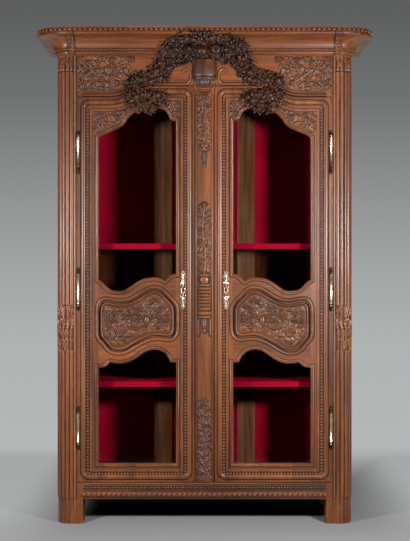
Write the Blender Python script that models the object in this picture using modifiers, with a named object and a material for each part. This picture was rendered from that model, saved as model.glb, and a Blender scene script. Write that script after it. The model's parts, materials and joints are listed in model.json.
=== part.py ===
"""Display armoire: a carved oak carcass with a lift-off cornice and two glazed doors.

Metres, +Z up. The front faces -Y, the left door is on the -X side, and the origin lies on the floor
under the middle of the whole box. Every piece is a solid of its own.
"""

import math
import random

import bmesh
import bpy
from mathutils import Matrix, Vector

# Driving dimensions: carcass
BODY_WIDTH = 1.397
BODY_DEPTH = 0.507
BODY_HEIGHT = 2.220
FOOT_HEIGHT = 0.120
POST_WIDTH = 0.1215
POST_DEPTH = 0.100
POST_CORNER_RADIUS = 0.060
BACK_POST_WIDTH = 0.080
BACK_POST_DEPTH = 0.070
FLUTE_RADIUS = 0.0065
FLUTE_COUNT = 4
FLUTE_TOP_MARGIN = 0.085
FLUTE_FOOT_MARGIN = 0.010
POST_CARVING_BOTTOM = 0.815
POST_CARVING_HEIGHT = 0.225
BOTTOM_RAIL_HEIGHT = 0.0745
FRIEZE_SIDE_HEIGHT = 0.195
FRIEZE_THICKNESS = 0.050
PENDANT_DROP = 0.034
SIDE_RECESS = 0.006
SIDE_THICKNESS = 0.040
SIDE_TOP_RAIL_HEIGHT = 0.160
SIDE_PANEL_THICKNESS = 0.016
SIDE_FIELD_MARGIN = 0.048
GROOVE_DEPTH = 0.012
TENON_LENGTH = 0.030
TENON_THICKNESS = 0.014
TENON_SHOULDER = 0.016
FLOOR_THICKNESS = 0.022
TOP_THICKNESS = 0.018
BACK_THICKNESS = 0.018
BACK_INSET = 0.019
PLANK_WIDTH = 0.156
PLANK_GROOVE = 0.004
MUNTIN_WIDTH = 0.090
MUNTIN_SPACING = 0.424
LINING_THICKNESS = 0.014
SHELF_THICKNESS = 0.028
SHELF_SETBACK = 0.006
UPPER_SHELF_TOP = 1.331
LOWER_SHELF_TOP = 0.663
BATTEN_HEIGHT = 0.030
BATTEN_WIDTH = 0.026

# Driving dimensions: cornice
CORNICE_HEIGHT = 0.117
CORNICE_OVERHANG = 0.105
CORNICE_WALL = 0.034
CORNICE_BASE_HEIGHT = 0.0315
CORNICE_BASE_STEP = 0.012
CORNICE_FILLET_STEP = 0.0216
COVE_START = 0.0264
CORNICE_CROWN_HEIGHT = 0.033
CORNICE_RETURN_LENGTH = 0.087
COVE_STEPS = 6

# Driving dimensions: doors
DOOR_THICKNESS = 0.033
DOOR_LAP = 0.023
DOOR_EDGE_PLAY = 0.0015
DOOR_STOP_PLAY = 0.0025
DOOR_END_PLAY = 0.004
CENTRE_WIDTH = 0.099
STRIP_PLAY = 0.003
STRIP_PROUD = 0.004
STRIP_CHAMFER = 0.006
OUTER_STILE_WIDTH = 0.0955
INNER_STILE_WIDTH = 0.086
DOOR_TOP_RISE = 0.052
TOP_RAIL_SIDE_HEIGHT = 0.183
UPPER_ARCH_RISE = 0.142
DOOR_BOTTOM_RAIL_HEIGHT = 0.087
LOWER_ARCH_SPRING = 0.744
LOWER_ARCH_RISE = 0.080
LOWER_CROSS_RAIL = 0.084
PANEL_BOTTOM_RISE = 0.077
PANEL_HEIGHT = 0.208
PANEL_TOP_RISE = 0.060
UPPER_CROSS_RAIL = 0.065
UPPER_SILL_RISE = 0.087
PANEL_THICKNESS = 0.012
PANEL_FRONT_INSET = 0.012
PANEL_FIELD_MARGIN = 0.014
PANEL_FIELD_RISE = 0.008
GLASS_THICKNESS = 0.003
GLASS_LAP = 0.008
GLASS_FRONT_INSET = 0.020
TORUS_RADIUS = 0.0125
TORUS_HEIGHT = 0.009
TORUS_INSET = 0.023
TORUS_CORNER = 0.026
STICKING_RADIUS = 0.008
STICKING_HEIGHT = 0.006

# Driving dimensions: hinges, keyhole plates and lock
LOWER_HINGE_RISE = 0.2575
MIDDLE_HINGE_DROP = 0.9085
UPPER_HINGE_DROP = 0.2615
KNUCKLE_RADIUS = 0.007
KNUCKLE_LENGTH = 0.068
FINIAL_LENGTH = 0.036
PIN_RADIUS = 0.003
PIN_LENGTH = 0.050
PIN_PLAY = 0.0005
HINGE_PROUD = 0.0012
HINGE_LEAF_THICKNESS = 0.002
HINGE_LEAF_DEPTH = 0.036
HINGE_LEAF_SETBACK = 0.0024
FINIAL_PROFILE = ((0.6, 0.10), (0.95, 0.38), (0.5, 0.72))
HINGE_SEGMENTS = 10
KEYHOLE_HEIGHT = 1.110
KEY_PLATE_LENGTH = 0.172
KEY_PLATE_WIDTH = 0.028
KEY_PLATE_THICKNESS = 0.002
KEY_PLATE_STEPS = 24
KEY_PLATE_MEAN = 0.62
KEY_PLATE_SWELL = 0.38
KEY_PLATE_TIP = 0.06
KEY_PLATE_ROUNDING = 0.3
KEYHOLE = ((-0.08, -0.4), (0.08, -0.4), (0.08, 0.05), (0.16, 0.15), (0.1, 0.3), (-0.1, 0.3), (-0.16, 0.15),
           (-0.08, 0.05))
LOCK_WIDTH = 0.070
LOCK_HEIGHT = 0.110
LOCK_THICKNESS = 0.022
LOCK_EDGE_SETBACK = 0.004
BOLT_LENGTH = 0.045
BOLT_HEIGHT = 0.016
BOLT_THICKNESS = 0.010
BOLT_PLAY = 0.0005

# Driving dimensions: carved flowers
FLOWER_RADIUS = 0.034
FLOWER_HEIGHT = 0.036
FLOWER_STEP = 0.046
FLOWER_ROW_OFFSET = 0.0255
FLOWER_SIZES = (0.85, 1.1)
FLOWER_STRAY = 0.2
FLOWER_SINK = 0.6
FLOWER_SEGMENTS = 8
FLOWER_RINGS = 4
GARLAND_HALF_WIDTH = 0.375
GARLAND_BAND_HALF_WIDTH = 0.2625
GARLAND_TOP_REACH = 0.092
GARLAND_CORE_RADIUS = 0.016
URN_RADIUS = 0.050
URN_HEIGHT = 0.135
URN_SEGMENTS = 12
CLUSTER_COUNT = 5
CLUSTER_PLACE = 0.58
CLUSTER_DROP = 0.068
CLUSTER_STRETCH = 1.3

# Fit between pieces that touch
CLEARANCE = 0.0003

# Shaped lines: a door's edges as (share of the way from outer to inner stile, share of the rise)
UPPER_ARCH = ((0.0, -0.05), (0.07, 0.06), (0.16, 0.155), (0.27, 0.285), (0.32, 0.38), (0.355, 0.52),
              (0.395, 0.65), (0.45, 0.775), (0.53, 0.88), (0.65, 0.955), (0.77, 0.935), (0.825, 0.905),
              (0.87, 0.825), (0.897, 0.73), (0.915, 0.61), (0.942, 0.53), (1.0, 0.51))
UPPER_SILL = ((0.0, 0.63), (0.05, 0.50), (0.085, 0.33), (0.15, 0.10), (0.24, 0.02), (0.325, 0.045),
              (0.40, 0.23), (0.475, 0.465), (0.57, 0.67), (0.68, 0.755), (0.77, 0.745), (0.83, 0.645),
              (0.857, 0.57), (0.893, 0.745), (0.942, 0.905), (1.0, 0.96))
PANEL_TOP = ((0.0, -0.30), (0.012, -0.03), (0.03, 0.22), (0.066, 0.39), (0.152, 0.353), (0.25, 0.235),
             (0.35, 0.252), (0.423, 0.393), (0.522, 0.733), (0.62, 1.113), (0.707, 1.278), (0.788, 1.223),
             (0.837, 0.993), (0.893, 0.615), (0.945, 0.32), (0.98, 0.02), (1.0, -0.30))
PANEL_BOTTOM = ((0.0, 0.80), (0.02, 0.63), (0.055, 0.47), (0.095, 0.26), (0.13, 0.02), (0.19, -0.144),
                (0.275, -0.175), (0.36, -0.09), (0.448, 0.175), (0.547, 0.44), (0.646, 0.649), (0.744, 0.736),
                (0.844, 0.681), (0.925, 0.66), (0.97, 0.76), (0.99, 0.93), (1.0, 1.10))
LOWER_ARCH = ((0.0, -0.055), (0.05, -0.05), (0.085, 0.0), (0.115, 0.10), (0.14, 0.21), (0.165, 0.245),
              (0.23, 0.19), (0.30, 0.19), (0.37, 0.24), (0.445, 0.385), (0.515, 0.59), (0.58, 0.805),
              (0.645, 0.96), (0.707, 1.01), (0.77, 0.99), (0.825, 0.885), (0.87, 0.72), (0.905, 0.49),
              (0.924, 0.285), (0.942, 0.25), (1.0, 0.245))
GARLAND_LINE = ((0.0, 0.83), (0.27, 0.86), (0.51, 0.70), (0.68, 0.46), (0.78, 0.20))
GARLAND_STEPS = 4
URN_PROFILE = ((0.0, 1.0), (0.95, 1.0), (1.0, 0.90), (0.80, 0.84), (0.86, 0.50), (0.55, 0.22), (0.25, 0.14),
               (0.42, 0.0), (0.0, 0.0))
TOP_EDGE_START = 0.15
TOP_EDGE_END = 0.66
TOP_EDGE_STEPS = 8
EDGE_STEPS = 2
CORNER_STEPS = 6
SHARP_ANGLE = math.radians(35)

# Places worked out from the driving dimensions
HALF_WIDTH = BODY_WIDTH / 2
BACK_Y = (BODY_DEPTH + CORNICE_OVERHANG) / 2
FRONT_Y = BACK_Y - BODY_DEPTH
POST_INNER_X = HALF_WIDTH - POST_WIDTH
POST_BACK_Y = FRONT_Y + POST_DEPTH
BACK_POST_INNER_X = HALF_WIDTH - BACK_POST_WIDTH
BACK_POST_FRONT_Y = BACK_Y - BACK_POST_DEPTH
SIDE_OUTER_X = HALF_WIDTH - SIDE_RECESS
SIDE_INNER_X = SIDE_OUTER_X - SIDE_THICKNESS
SIDE_MIDDLE_X = (SIDE_OUTER_X + SIDE_INNER_X) / 2
RAIL_TOP = FOOT_HEIGHT + BOTTOM_RAIL_HEIGHT
FLOOR_TOP = RAIL_TOP + CLEARANCE + FLOOR_THICKNESS
FRIEZE_BOTTOM = BODY_HEIGHT - FRIEZE_SIDE_HEIGHT
BACK_BOARD_BACK_Y = BACK_Y - BACK_INSET
BACK_BOARD_FRONT_Y = BACK_BOARD_BACK_Y - BACK_THICKNESS
DOOR_BACK_Y = FRONT_Y + DOOR_THICKNESS
DOOR_OUTER_X = POST_INNER_X + DOOR_LAP - DOOR_EDGE_PLAY
DOOR_INNER_X = CENTRE_WIDTH / 2
DOOR_BOTTOM = RAIL_TOP + DOOR_END_PLAY
DOOR_TOP = FRIEZE_BOTTOM - DOOR_END_PLAY
OUTER_SIGHT_X = DOOR_OUTER_X - OUTER_STILE_WIDTH
INNER_SIGHT_X = DOOR_INNER_X + INNER_STILE_WIDTH
PANEL_LOW = LOWER_ARCH_SPRING + LOWER_CROSS_RAIL
PANEL_HIGH = PANEL_LOW + PANEL_HEIGHT
UPPER_SILL_LOW = PANEL_HIGH + UPPER_CROSS_RAIL
UPPER_ARCH_SPRING = DOOR_TOP - TOP_RAIL_SIDE_HEIGHT
LOWER_SILL = DOOR_BOTTOM + DOOR_BOTTOM_RAIL_HEIGHT
HINGE_HEIGHTS = (DOOR_BOTTOM + LOWER_HINGE_RISE, DOOR_TOP - MIDDLE_HINGE_DROP, DOOR_TOP - UPPER_HINGE_DROP)
HINGE_X = DOOR_OUTER_X + DOOR_EDGE_PLAY / 2
HINGE_Y = FRONT_Y - HINGE_PROUD - KNUCKLE_RADIUS
HINGE_LEAF_OFFSET = KNUCKLE_RADIUS - HINGE_LEAF_SETBACK
MOULDING_Y = FRONT_Y + 2 * CLEARANCE
STICKING_SETBACK = STICKING_RADIUS + 2 * CLEARANCE
SHELF_END_X = SIDE_INNER_X - LINING_THICKNESS - 3 * CLEARANCE
SHELF_FRONT_Y = POST_BACK_Y + SHELF_SETBACK
SHELF_BACK_Y = BACK_POST_FRONT_Y - 2 * CLEARANCE


def clear_scene():
    """Removes what the scene holds and gives back the two collections of this object."""
    for old in list(bpy.data.objects):
        bpy.data.objects.remove(old)
    parts = bpy.data.collections.new("display_armoire")
    cutters = bpy.data.collections.new("display_armoire_cutters")
    cutters.hide_render = True
    for collection in (parts, cutters):
        bpy.context.scene.collection.children.link(collection)
    return parts, cutters


PARTS, CUTTERS = clear_scene()


def finish(name, colour, roughness, metallic=0.0):
    """A Principled material."""
    material = bpy.data.materials.new(name)
    material.use_nodes = True
    shader = material.node_tree.nodes["Principled BSDF"]
    shader.inputs["Base Color"].default_value = (*colour, 1.0)
    shader.inputs["Roughness"].default_value = roughness
    shader.inputs["Metallic"].default_value = metallic
    material.diffuse_color = (*colour, 1.0)
    return material


OAK = ("oak", (0.27, 0.11, 0.045), 0.45)
CARVED_OAK = ("carved_oak", (0.12, 0.055, 0.03), 0.55)
CLOTH = ("red_cloth", (0.42, 0.01, 0.04), 0.9)
BRASS = ("brass", (0.70, 0.62, 0.42), 0.3, 1.0)
IRON = ("iron", (0.06, 0.055, 0.05), 0.5, 1.0)
GLASS = ("glass", (0.75, 0.80, 0.80), 0.05)


def scratch(name, mesh):
    """An object for shapes still being cut or joined."""
    obj = bpy.data.objects.new(name, mesh)
    obj.hide_render = True
    obj.display_type = "WIRE"
    CUTTERS.objects.link(obj)
    return obj


def settle(obj):
    """Replaces an object's mesh with what its modifiers make of it."""
    graph = bpy.context.evaluated_depsgraph_get()
    mesh = bpy.data.meshes.new_from_object(obj.evaluated_get(graph), depsgraph=graph)
    obj.modifiers.clear()
    obj.data = mesh


def boolean(target, other, operation):
    """Cuts or joins one shape with another, which is used up."""
    modifier = target.modifiers.new(operation.lower(), "BOOLEAN")
    modifier.operation = operation
    modifier.solver = "MANIFOLD"
    modifier.object = other
    settle(target)
    bpy.data.objects.remove(other)
    return target


def cut(target, *others):
    for other in others:
        boolean(target, other, "DIFFERENCE")
    return target


def join(target, *others):
    for other in others:
        boolean(target, other, "UNION")
    return target


def keep_within(target, other):
    return boolean(target, other, "INTERSECT")


def weld(mesh, matrix):
    """Moves a mesh into place and closes its loose seams."""
    shape = bmesh.new()
    shape.from_mesh(mesh)
    bmesh.ops.remove_doubles(shape, verts=shape.verts, dist=1e-6)
    bmesh.ops.transform(shape, matrix=matrix, verts=shape.verts)
    bmesh.ops.recalc_face_normals(shape, faces=shape.faces)
    shape.to_mesh(mesh)
    shape.free()
    return mesh


def mesh_of_curve(curve, matrix):
    """The welded mesh of a curve, put into place by a matrix."""
    holder = bpy.data.objects.new("curve", curve)
    CUTTERS.objects.link(holder)
    graph = bpy.context.evaluated_depsgraph_get()
    mesh = bpy.data.meshes.new_from_object(holder.evaluated_get(graph), depsgraph=graph)
    bpy.data.objects.remove(holder)
    return scratch("shape", weld(mesh, matrix))


def slab(low, high):
    """A box between two corners."""
    low, high = Vector(low), Vector(high)
    shape = bmesh.new()
    size = Matrix.Diagonal((*(high - low), 1.0))
    bmesh.ops.create_cube(shape, size=1.0, matrix=Matrix.Translation((low + high) / 2) @ size)
    mesh = bpy.data.meshes.new("slab")
    shape.to_mesh(mesh)
    shape.free()
    return scratch("slab", mesh)


AXIS_TURNS = {
    "X": Matrix(((0, 0, 1, 0), (1, 0, 0, 0), (0, 1, 0, 0), (0, 0, 0, 1))),
    "Y": Matrix(((1, 0, 0, 0), (0, 0, -1, 0), (0, 1, 0, 0), (0, 0, 0, 1))),
    "Z": Matrix.Identity(4),
}


def prism(axis, low, high, *loops):
    """Closed flat outlines, the later ones holes, drawn square to an axis and run along it."""
    curve = bpy.data.curves.new("outline", "CURVE")
    curve.dimensions = "2D"
    curve.fill_mode = "BOTH"
    curve.extrude = (high - low) / 2
    for loop in loops:
        spline = curve.splines.new("POLY")
        spline.points.add(len(loop) - 1)
        for point, (first, second) in zip(spline.points, loop):
            point.co = (first, second, 0.0, 1.0)
        spline.use_cyclic_u = True
    place = [0.0, 0.0, 0.0]
    place["XYZ".index(axis)] = (low + high) / 2
    return mesh_of_curve(curve, Matrix.Translation(place) @ AXIS_TURNS[axis])


def rod(path, radius, resolution=1, flatten=1.0):
    """A round rod along points. Flatten draws it in along Y, towards the plane of its first point."""
    curve = bpy.data.curves.new("rod", "CURVE")
    curve.dimensions = "3D"
    curve.bevel_depth = radius
    curve.bevel_resolution = resolution
    curve.use_fill_caps = True
    spline = curve.splines.new("POLY")
    spline.points.add(len(path) - 1)
    for point, place in zip(spline.points, path):
        point.co = (*place, 1.0)
    plane = Matrix.Translation((0.0, path[0][1], 0.0))
    return mesh_of_curve(curve, plane @ Matrix.Diagonal((1.0, flatten, 1.0, 1.0)) @ plane.inverted())


def turned(profile, centre, steps):
    """A turned solid: (radius, height) points from the top down, round a vertical axis."""
    mesh = bpy.data.meshes.new("profile")
    points = [(radius, 0.0, height) for radius, height in profile]
    mesh.from_pydata(points, [(i, i + 1) for i in range(len(points) - 1)], [])
    obj = scratch("turned", mesh)
    screw = obj.modifiers.new("turn", "SCREW")
    screw.steps = screw.render_steps = steps
    screw.use_merge_vertices = True
    screw.merge_threshold = 1e-5
    settle(obj)
    weld(obj.data, Matrix.Translation(centre))
    return obj


def dome(centre, radius, height):
    """A carved flower head, round from the front and flatter from the side."""
    shape = bmesh.new()
    squash = Matrix.Diagonal((radius, height, radius, 1.0))
    upright = Matrix.Rotation(math.pi / 2, 4, "X")
    bmesh.ops.create_uvsphere(
        shape, u_segments=FLOWER_SEGMENTS, v_segments=FLOWER_RINGS, radius=1.0,
        matrix=Matrix.Translation(centre) @ squash @ upright,
    )
    mesh = bpy.data.meshes.new("dome")
    shape.to_mesh(mesh)
    shape.free()
    return scratch("dome", mesh)


def smooth(points, steps=EDGE_STEPS):
    """A flowing line through points, with this many steps from each to the next."""
    line = []
    for i in range(len(points) - 1):
        before = Vector(points[max(i - 1, 0)])
        here, there = Vector(points[i]), Vector(points[i + 1])
        after = Vector(points[min(i + 2, len(points) - 1)])
        for step in range(steps):
            t = step / steps
            line.append(
                0.5 * (2 * here + (there - before) * t + (2 * before - 5 * here + 4 * there - after) * t ** 2
                       + (3 * here - before - 3 * there + after) * t ** 3)
            )
    line.append(Vector(points[-1]))
    return [tuple(point) for point in line]


def grown(loop, distance):
    """A closed outline moved outwards, or inwards for a negative distance."""
    area = sum(a[0] * b[1] - b[0] * a[1] for a, b in zip(loop, loop[1:] + loop[:1]))
    turn = 1.0 if area > 0 else -1.0
    result = []
    for before, here, after in zip(loop[-1:] + loop[:-1], loop, loop[1:] + loop[:1]):
        first = (Vector(here) - Vector(before)).normalized()
        second = (Vector(after) - Vector(here)).normalized()
        out_first = turn * Vector((first.y, -first.x))
        out_second = turn * Vector((second.y, -second.x))
        lean = out_first + out_second
        result.append(tuple(Vector(here) + lean * distance * 2 / max(lean.length_squared, 1.0)))
    return result


def keep(shape, name, recipe, parent=None):
    """Names a finished shape as a part and gives it its material."""
    CUTTERS.objects.unlink(shape)
    PARTS.objects.link(shape)
    shape.name = name
    shape.data.name = name
    shape.hide_render = False
    shape.display_type = "TEXTURED"
    shape.data.materials.clear()
    shape.data.materials.append(finish(name + "_" + recipe[0], *recipe[1:]))
    shape.data.shade_smooth()
    shape.data.set_sharp_from_angle(angle=SHARP_ANGLE)
    if parent:
        shape.parent = parent
        shape.matrix_parent_inverse = Matrix.Translation(parent.location).inverted()
    return shape


def mirrored(obj):
    """The same shape on the other side."""
    mesh = obj.data.copy()
    mesh.transform(Matrix.Diagonal((-1.0, 1.0, 1.0, 1.0)))
    mesh.flip_normals()
    return scratch("mirrored", mesh)


def keep_pair(shape, name, recipe, parents=(None, None)):
    """Keeps a shape made for the left side, and its mirror image for the right."""
    right = mirrored(shape)
    keep(shape, name + "_left", recipe, parents[0])
    keep(right, name + "_right", recipe, parents[1])


def grown_box(low, high, margin=CLEARANCE):
    """The cutter that leaves a box its clearance."""
    return slab([value - margin for value in low], [value + margin for value in high])


# Joints of the carcass, each given as the two corners of its tenon or tongue on the left side
def rail_tenon(rail_low, rail_high):
    """Tenon of a front rail into the front post."""
    middle = FRONT_Y + FRIEZE_THICKNESS / 2
    low = (-POST_INNER_X - TENON_LENGTH, middle - TENON_THICKNESS / 2, rail_low + TENON_SHOULDER)
    high = (-POST_INNER_X + TENON_LENGTH / 2, middle + TENON_THICKNESS / 2, rail_high - TENON_SHOULDER)
    return low, high


def side_tenon(rail_low, rail_high, shoulder, way):
    """Tenon of a side rail, forwards into the front post (-1) or back into the back post (+1)."""
    ends = sorted((shoulder + way * TENON_LENGTH, shoulder - way * TENON_LENGTH / 2))
    low = (-SIDE_MIDDLE_X - TENON_THICKNESS / 2, ends[0], rail_low + TENON_SHOULDER)
    high = (-SIDE_MIDDLE_X + TENON_THICKNESS / 2, ends[1], rail_high - TENON_SHOULDER)
    return low, high


SIDE_TOP_BOTTOM = BODY_HEIGHT - SIDE_TOP_RAIL_HEIGHT
SIDE_RAILS = ((FOOT_HEIGHT, RAIL_TOP), (SIDE_TOP_BOTTOM, BODY_HEIGHT))
FRONT_RAILS = ((FOOT_HEIGHT, RAIL_TOP), (FRIEZE_BOTTOM, BODY_HEIGHT))
SIDE_TONGUE = (
    (-SIDE_MIDDLE_X - SIDE_PANEL_THICKNESS / 2, POST_BACK_Y - GROOVE_DEPTH, RAIL_TOP - GROOVE_DEPTH),
    (-SIDE_MIDDLE_X + SIDE_PANEL_THICKNESS / 2, BACK_POST_FRONT_Y + GROOVE_DEPTH,
     SIDE_TOP_BOTTOM + GROOVE_DEPTH),
)
BACK_TONGUE = (
    (-BACK_POST_INNER_X - GROOVE_DEPTH, BACK_BOARD_FRONT_Y, FOOT_HEIGHT),
    (BACK_POST_INNER_X + GROOVE_DEPTH, BACK_BOARD_BACK_Y, BODY_HEIGHT),
)


def hinge_leaf(height, way):
    """Leaf of a hinge half: the fixed one below in the post (-1), the moving one above in the stile (+1)."""
    margin = KNUCKLE_RADIUS / 2
    middle = -HINGE_X + way * HINGE_LEAF_OFFSET
    ends = sorted((height + way * margin, height + way * (KNUCKLE_LENGTH - margin)))
    low = (middle - HINGE_LEAF_THICKNESS / 2, HINGE_Y + HINGE_LEAF_THICKNESS / 2, ends[0])
    high = (middle + HINGE_LEAF_THICKNESS / 2, HINGE_Y + HINGE_LEAF_DEPTH, ends[1])
    return low, high


def corner_arc(radius):
    """Points round the rounded front corner of the left post, from its front to its side."""
    centre = Vector((-HALF_WIDTH + POST_CORNER_RADIUS, FRONT_Y + POST_CORNER_RADIUS))
    angles = [math.pi / 2 * step / CORNER_STEPS for step in range(CORNER_STEPS + 1)]
    return [(centre.x - radius * math.sin(angle), centre.y - radius * math.cos(angle)) for angle in angles]


def flute_place(share):
    """A place on the post's face, by its share of the way from the door round to the side."""
    flat = HALF_WIDTH - POST_CORNER_RADIUS - POST_INNER_X - DOOR_LAP
    run = share * (flat + POST_CORNER_RADIUS * math.pi / 2)
    if run < flat:
        return -POST_INNER_X - DOOR_LAP - run, FRONT_Y
    angle = (run - flat) / POST_CORNER_RADIUS
    middle = -HALF_WIDTH + POST_CORNER_RADIUS
    return (middle - POST_CORNER_RADIUS * math.sin(angle),
            FRONT_Y + POST_CORNER_RADIUS * (1 - math.cos(angle)))


def make_posts():
    plan = [(-POST_INNER_X, POST_BACK_Y), (-POST_INNER_X, FRONT_Y), *corner_arc(POST_CORNER_RADIUS),
            (-HALF_WIDTH, POST_BACK_Y)]
    post = prism("Z", 0.0, BODY_HEIGHT, plan)
    reach = POST_DEPTH
    cut(post, slab((-POST_INNER_X - DOOR_LAP, FRONT_Y - reach, RAIL_TOP),
                   (-POST_INNER_X + reach, DOOR_BACK_Y + DOOR_STOP_PLAY, FRIEZE_BOTTOM)))
    runs = ((FOOT_HEIGHT + FLUTE_FOOT_MARGIN, POST_CARVING_BOTTOM),
            (POST_CARVING_BOTTOM + POST_CARVING_HEIGHT, BODY_HEIGHT - FLUTE_TOP_MARGIN))
    for index in range(FLUTE_COUNT):
        x, y = flute_place((index + 0.5) / FLUTE_COUNT)
        for bottom, top in runs:
            cut(post, rod([(x, y, bottom), (x, y, top)], FLUTE_RADIUS))
    joints = [rail_tenon(*rail) for rail in FRONT_RAILS]
    joints += [side_tenon(*rail, POST_BACK_Y, -1) for rail in SIDE_RAILS]
    joints += [hinge_leaf(height, -1) for height in HINGE_HEIGHTS]
    cut(post, *[grown_box(*joint) for joint in joints + [SIDE_TONGUE]])
    keep_pair(post, "front_post", OAK)

    back = slab((-HALF_WIDTH, BACK_POST_FRONT_Y, 0.0), (-BACK_POST_INNER_X, BACK_Y, BODY_HEIGHT))
    joints = [side_tenon(*rail, BACK_POST_FRONT_Y, 1) for rail in SIDE_RAILS]
    groove = (BACK_TONGUE[0], (*BACK_TONGUE[1][:2], BODY_HEIGHT + GROOVE_DEPTH))
    cut(back, *[grown_box(*joint) for joint in joints + [SIDE_TONGUE, groove]])
    keep_pair(back, "back_post", OAK)


def top_edge(lift):
    """The swept S of the left door's top, raised by a lift, from outside in."""
    span = OUTER_SIGHT_X - INNER_SIGHT_X
    line = []
    for step in range(TOP_EDGE_STEPS + 1):
        share = step / TOP_EDGE_STEPS
        along = TOP_EDGE_START + (TOP_EDGE_END - TOP_EDGE_START) * share
        rise = DOOR_TOP_RISE * (1 - math.cos(math.pi * share)) / 2
        line.append((-OUTER_SIGHT_X + along * span, DOOR_TOP + lift + rise))
    return line


PENDANT_HALF_WIDTH = DOOR_INNER_X - 2 * STRIP_PLAY
PENDANT_BOTTOM = FRIEZE_BOTTOM + DOOR_TOP_RISE - PENDANT_DROP


def frieze_loop(margin=0.0):
    """Outline of the frieze rail, drawn in from its lower edge by a margin."""
    end = POST_INNER_X - CLEARANCE
    left = [(-end, FRIEZE_BOTTOM + margin), *top_edge(DOOR_END_PLAY + margin)]
    middle = []
    for step in range(TOP_EDGE_STEPS + 1):
        angle = math.pi * step / TOP_EDGE_STEPS
        drop = PENDANT_DROP * math.sin(angle)
        middle.append((-(PENDANT_HALF_WIDTH - margin) * math.cos(angle),
                       FRIEZE_BOTTOM + DOOR_TOP_RISE + margin - drop))
    right = [(-x, z) for x, z in reversed(left)]
    return left + middle + right + [(end, BODY_HEIGHT), (-end, BODY_HEIGHT)]


def make_front_rails():
    back = FRONT_Y + FRIEZE_THICKNESS
    end = POST_INNER_X - CLEARANCE
    frieze = prism("Y", FRONT_Y, back, frieze_loop())
    rail = slab((-end, FRONT_Y, FOOT_HEIGHT), (end, back, RAIL_TOP))
    for piece, levels in ((rail, FRONT_RAILS[0]), (frieze, FRONT_RAILS[1])):
        low, high = rail_tenon(*levels)
        join(piece, slab(low, high), slab((-high[0], *low[1:]), (-low[0], *high[1:])))
    keep(frieze, "frieze_rail", OAK)
    keep(rail, "front_bottom_rail", OAK)


def make_sides():
    for (bottom, top), name in zip(SIDE_RAILS, ("side_bottom_rail", "side_top_rail")):
        rail = slab((-SIDE_OUTER_X, POST_BACK_Y + CLEARANCE, bottom),
                    (-SIDE_INNER_X, BACK_POST_FRONT_Y - CLEARANCE, top))
        join(rail, slab(*side_tenon(bottom, top, POST_BACK_Y, -1)))
        join(rail, slab(*side_tenon(bottom, top, BACK_POST_FRONT_Y, 1)))
        cut(rail, grown_box(*SIDE_TONGUE))
        keep_pair(rail, name, OAK)
    panel = slab(*SIDE_TONGUE)
    margin = SIDE_FIELD_MARGIN
    low, high = SIDE_TONGUE
    field = slab((low[0] - SIDE_RECESS, low[1] + margin, low[2] + margin),
                 (high[0] - SIDE_PANEL_THICKNESS / 2, high[1] - margin, high[2] - margin))
    keep_pair(join(panel, field), "side_panel", OAK)

    lining_low = (-SIDE_INNER_X + CLEARANCE, POST_BACK_Y + 2 * CLEARANCE, FLOOR_TOP + CLEARANCE)
    lining_high = (lining_low[0] + LINING_THICKNESS, BACK_POST_FRONT_Y - 2 * CLEARANCE, BODY_HEIGHT)
    lining = slab(lining_low, lining_high)
    for shelf_top in (LOWER_SHELF_TOP, UPPER_SHELF_TOP):
        top = shelf_top - SHELF_THICKNESS - CLEARANCE
        join(lining, slab((lining_low[0] + LINING_THICKNESS / 2, SHELF_FRONT_Y, top - BATTEN_HEIGHT),
                          (lining_high[0] + BATTEN_WIDTH, SHELF_BACK_Y - BATTEN_WIDTH, top)))
    keep_pair(lining, "side_lining", CLOTH)


def make_inside():
    inset = CLEARANCE
    front_notch = POST_INNER_X - inset, POST_BACK_Y + inset
    back_notch = BACK_POST_INNER_X - inset, BACK_POST_FRONT_Y - inset
    side = SIDE_MIDDLE_X - SIDE_PANEL_THICKNESS / 2 - inset
    front = DOOR_BACK_Y + 2 * DOOR_STOP_PLAY
    back = BACK_BOARD_FRONT_Y - inset
    half = [(front_notch[0], front), front_notch, (side, front_notch[1]), (side, back_notch[1]),
            back_notch, (back_notch[0], back)]
    loop = half + [(-x, y) for x, y in reversed(half)]
    keep(prism("Z", RAIL_TOP + inset, FLOOR_TOP, loop), "floor_board", OAK)

    wall = CORNICE_WALL + 2 * inset
    left = corner_arc(POST_CORNER_RADIUS - wall) + [(-HALF_WIDTH + wall, BACK_Y)]
    loop = left + [(-x, y) for x, y in reversed(left)]
    keep(prism("Z", BODY_HEIGHT + inset, BODY_HEIGHT + inset + TOP_THICKNESS, loop), "top_board", OAK)
    board = slab(*BACK_TONGUE)
    planks = round(2 * BACK_POST_INNER_X / PLANK_WIDTH)
    for index in range(1, planks):
        x = BACK_POST_INNER_X * (2 * index / planks - 1)
        cut(board, slab((x - PLANK_GROOVE / 2, BACK_BOARD_BACK_Y - PLANK_GROOVE, FOOT_HEIGHT - PLANK_GROOVE),
                        (x + PLANK_GROOVE / 2, BACK_BOARD_BACK_Y + PLANK_GROOVE, BODY_HEIGHT + PLANK_GROOVE)))
    keep(board, "back_board", OAK)
    muntin = slab((-(MUNTIN_SPACING + MUNTIN_WIDTH) / 2, BACK_POST_FRONT_Y, FLOOR_TOP + inset),
                  (-(MUNTIN_SPACING - MUNTIN_WIDTH) / 2, BACK_BOARD_FRONT_Y - inset, BODY_HEIGHT))
    keep_pair(muntin, "back_muntin", OAK)
    for top, name in ((UPPER_SHELF_TOP, "upper_shelf"), (LOWER_SHELF_TOP, "lower_shelf")):
        shelf = slab((-SHELF_END_X, SHELF_FRONT_Y, top - SHELF_THICKNESS), (SHELF_END_X, SHELF_BACK_Y, top))
        keep(shelf, name, CLOTH)


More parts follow.
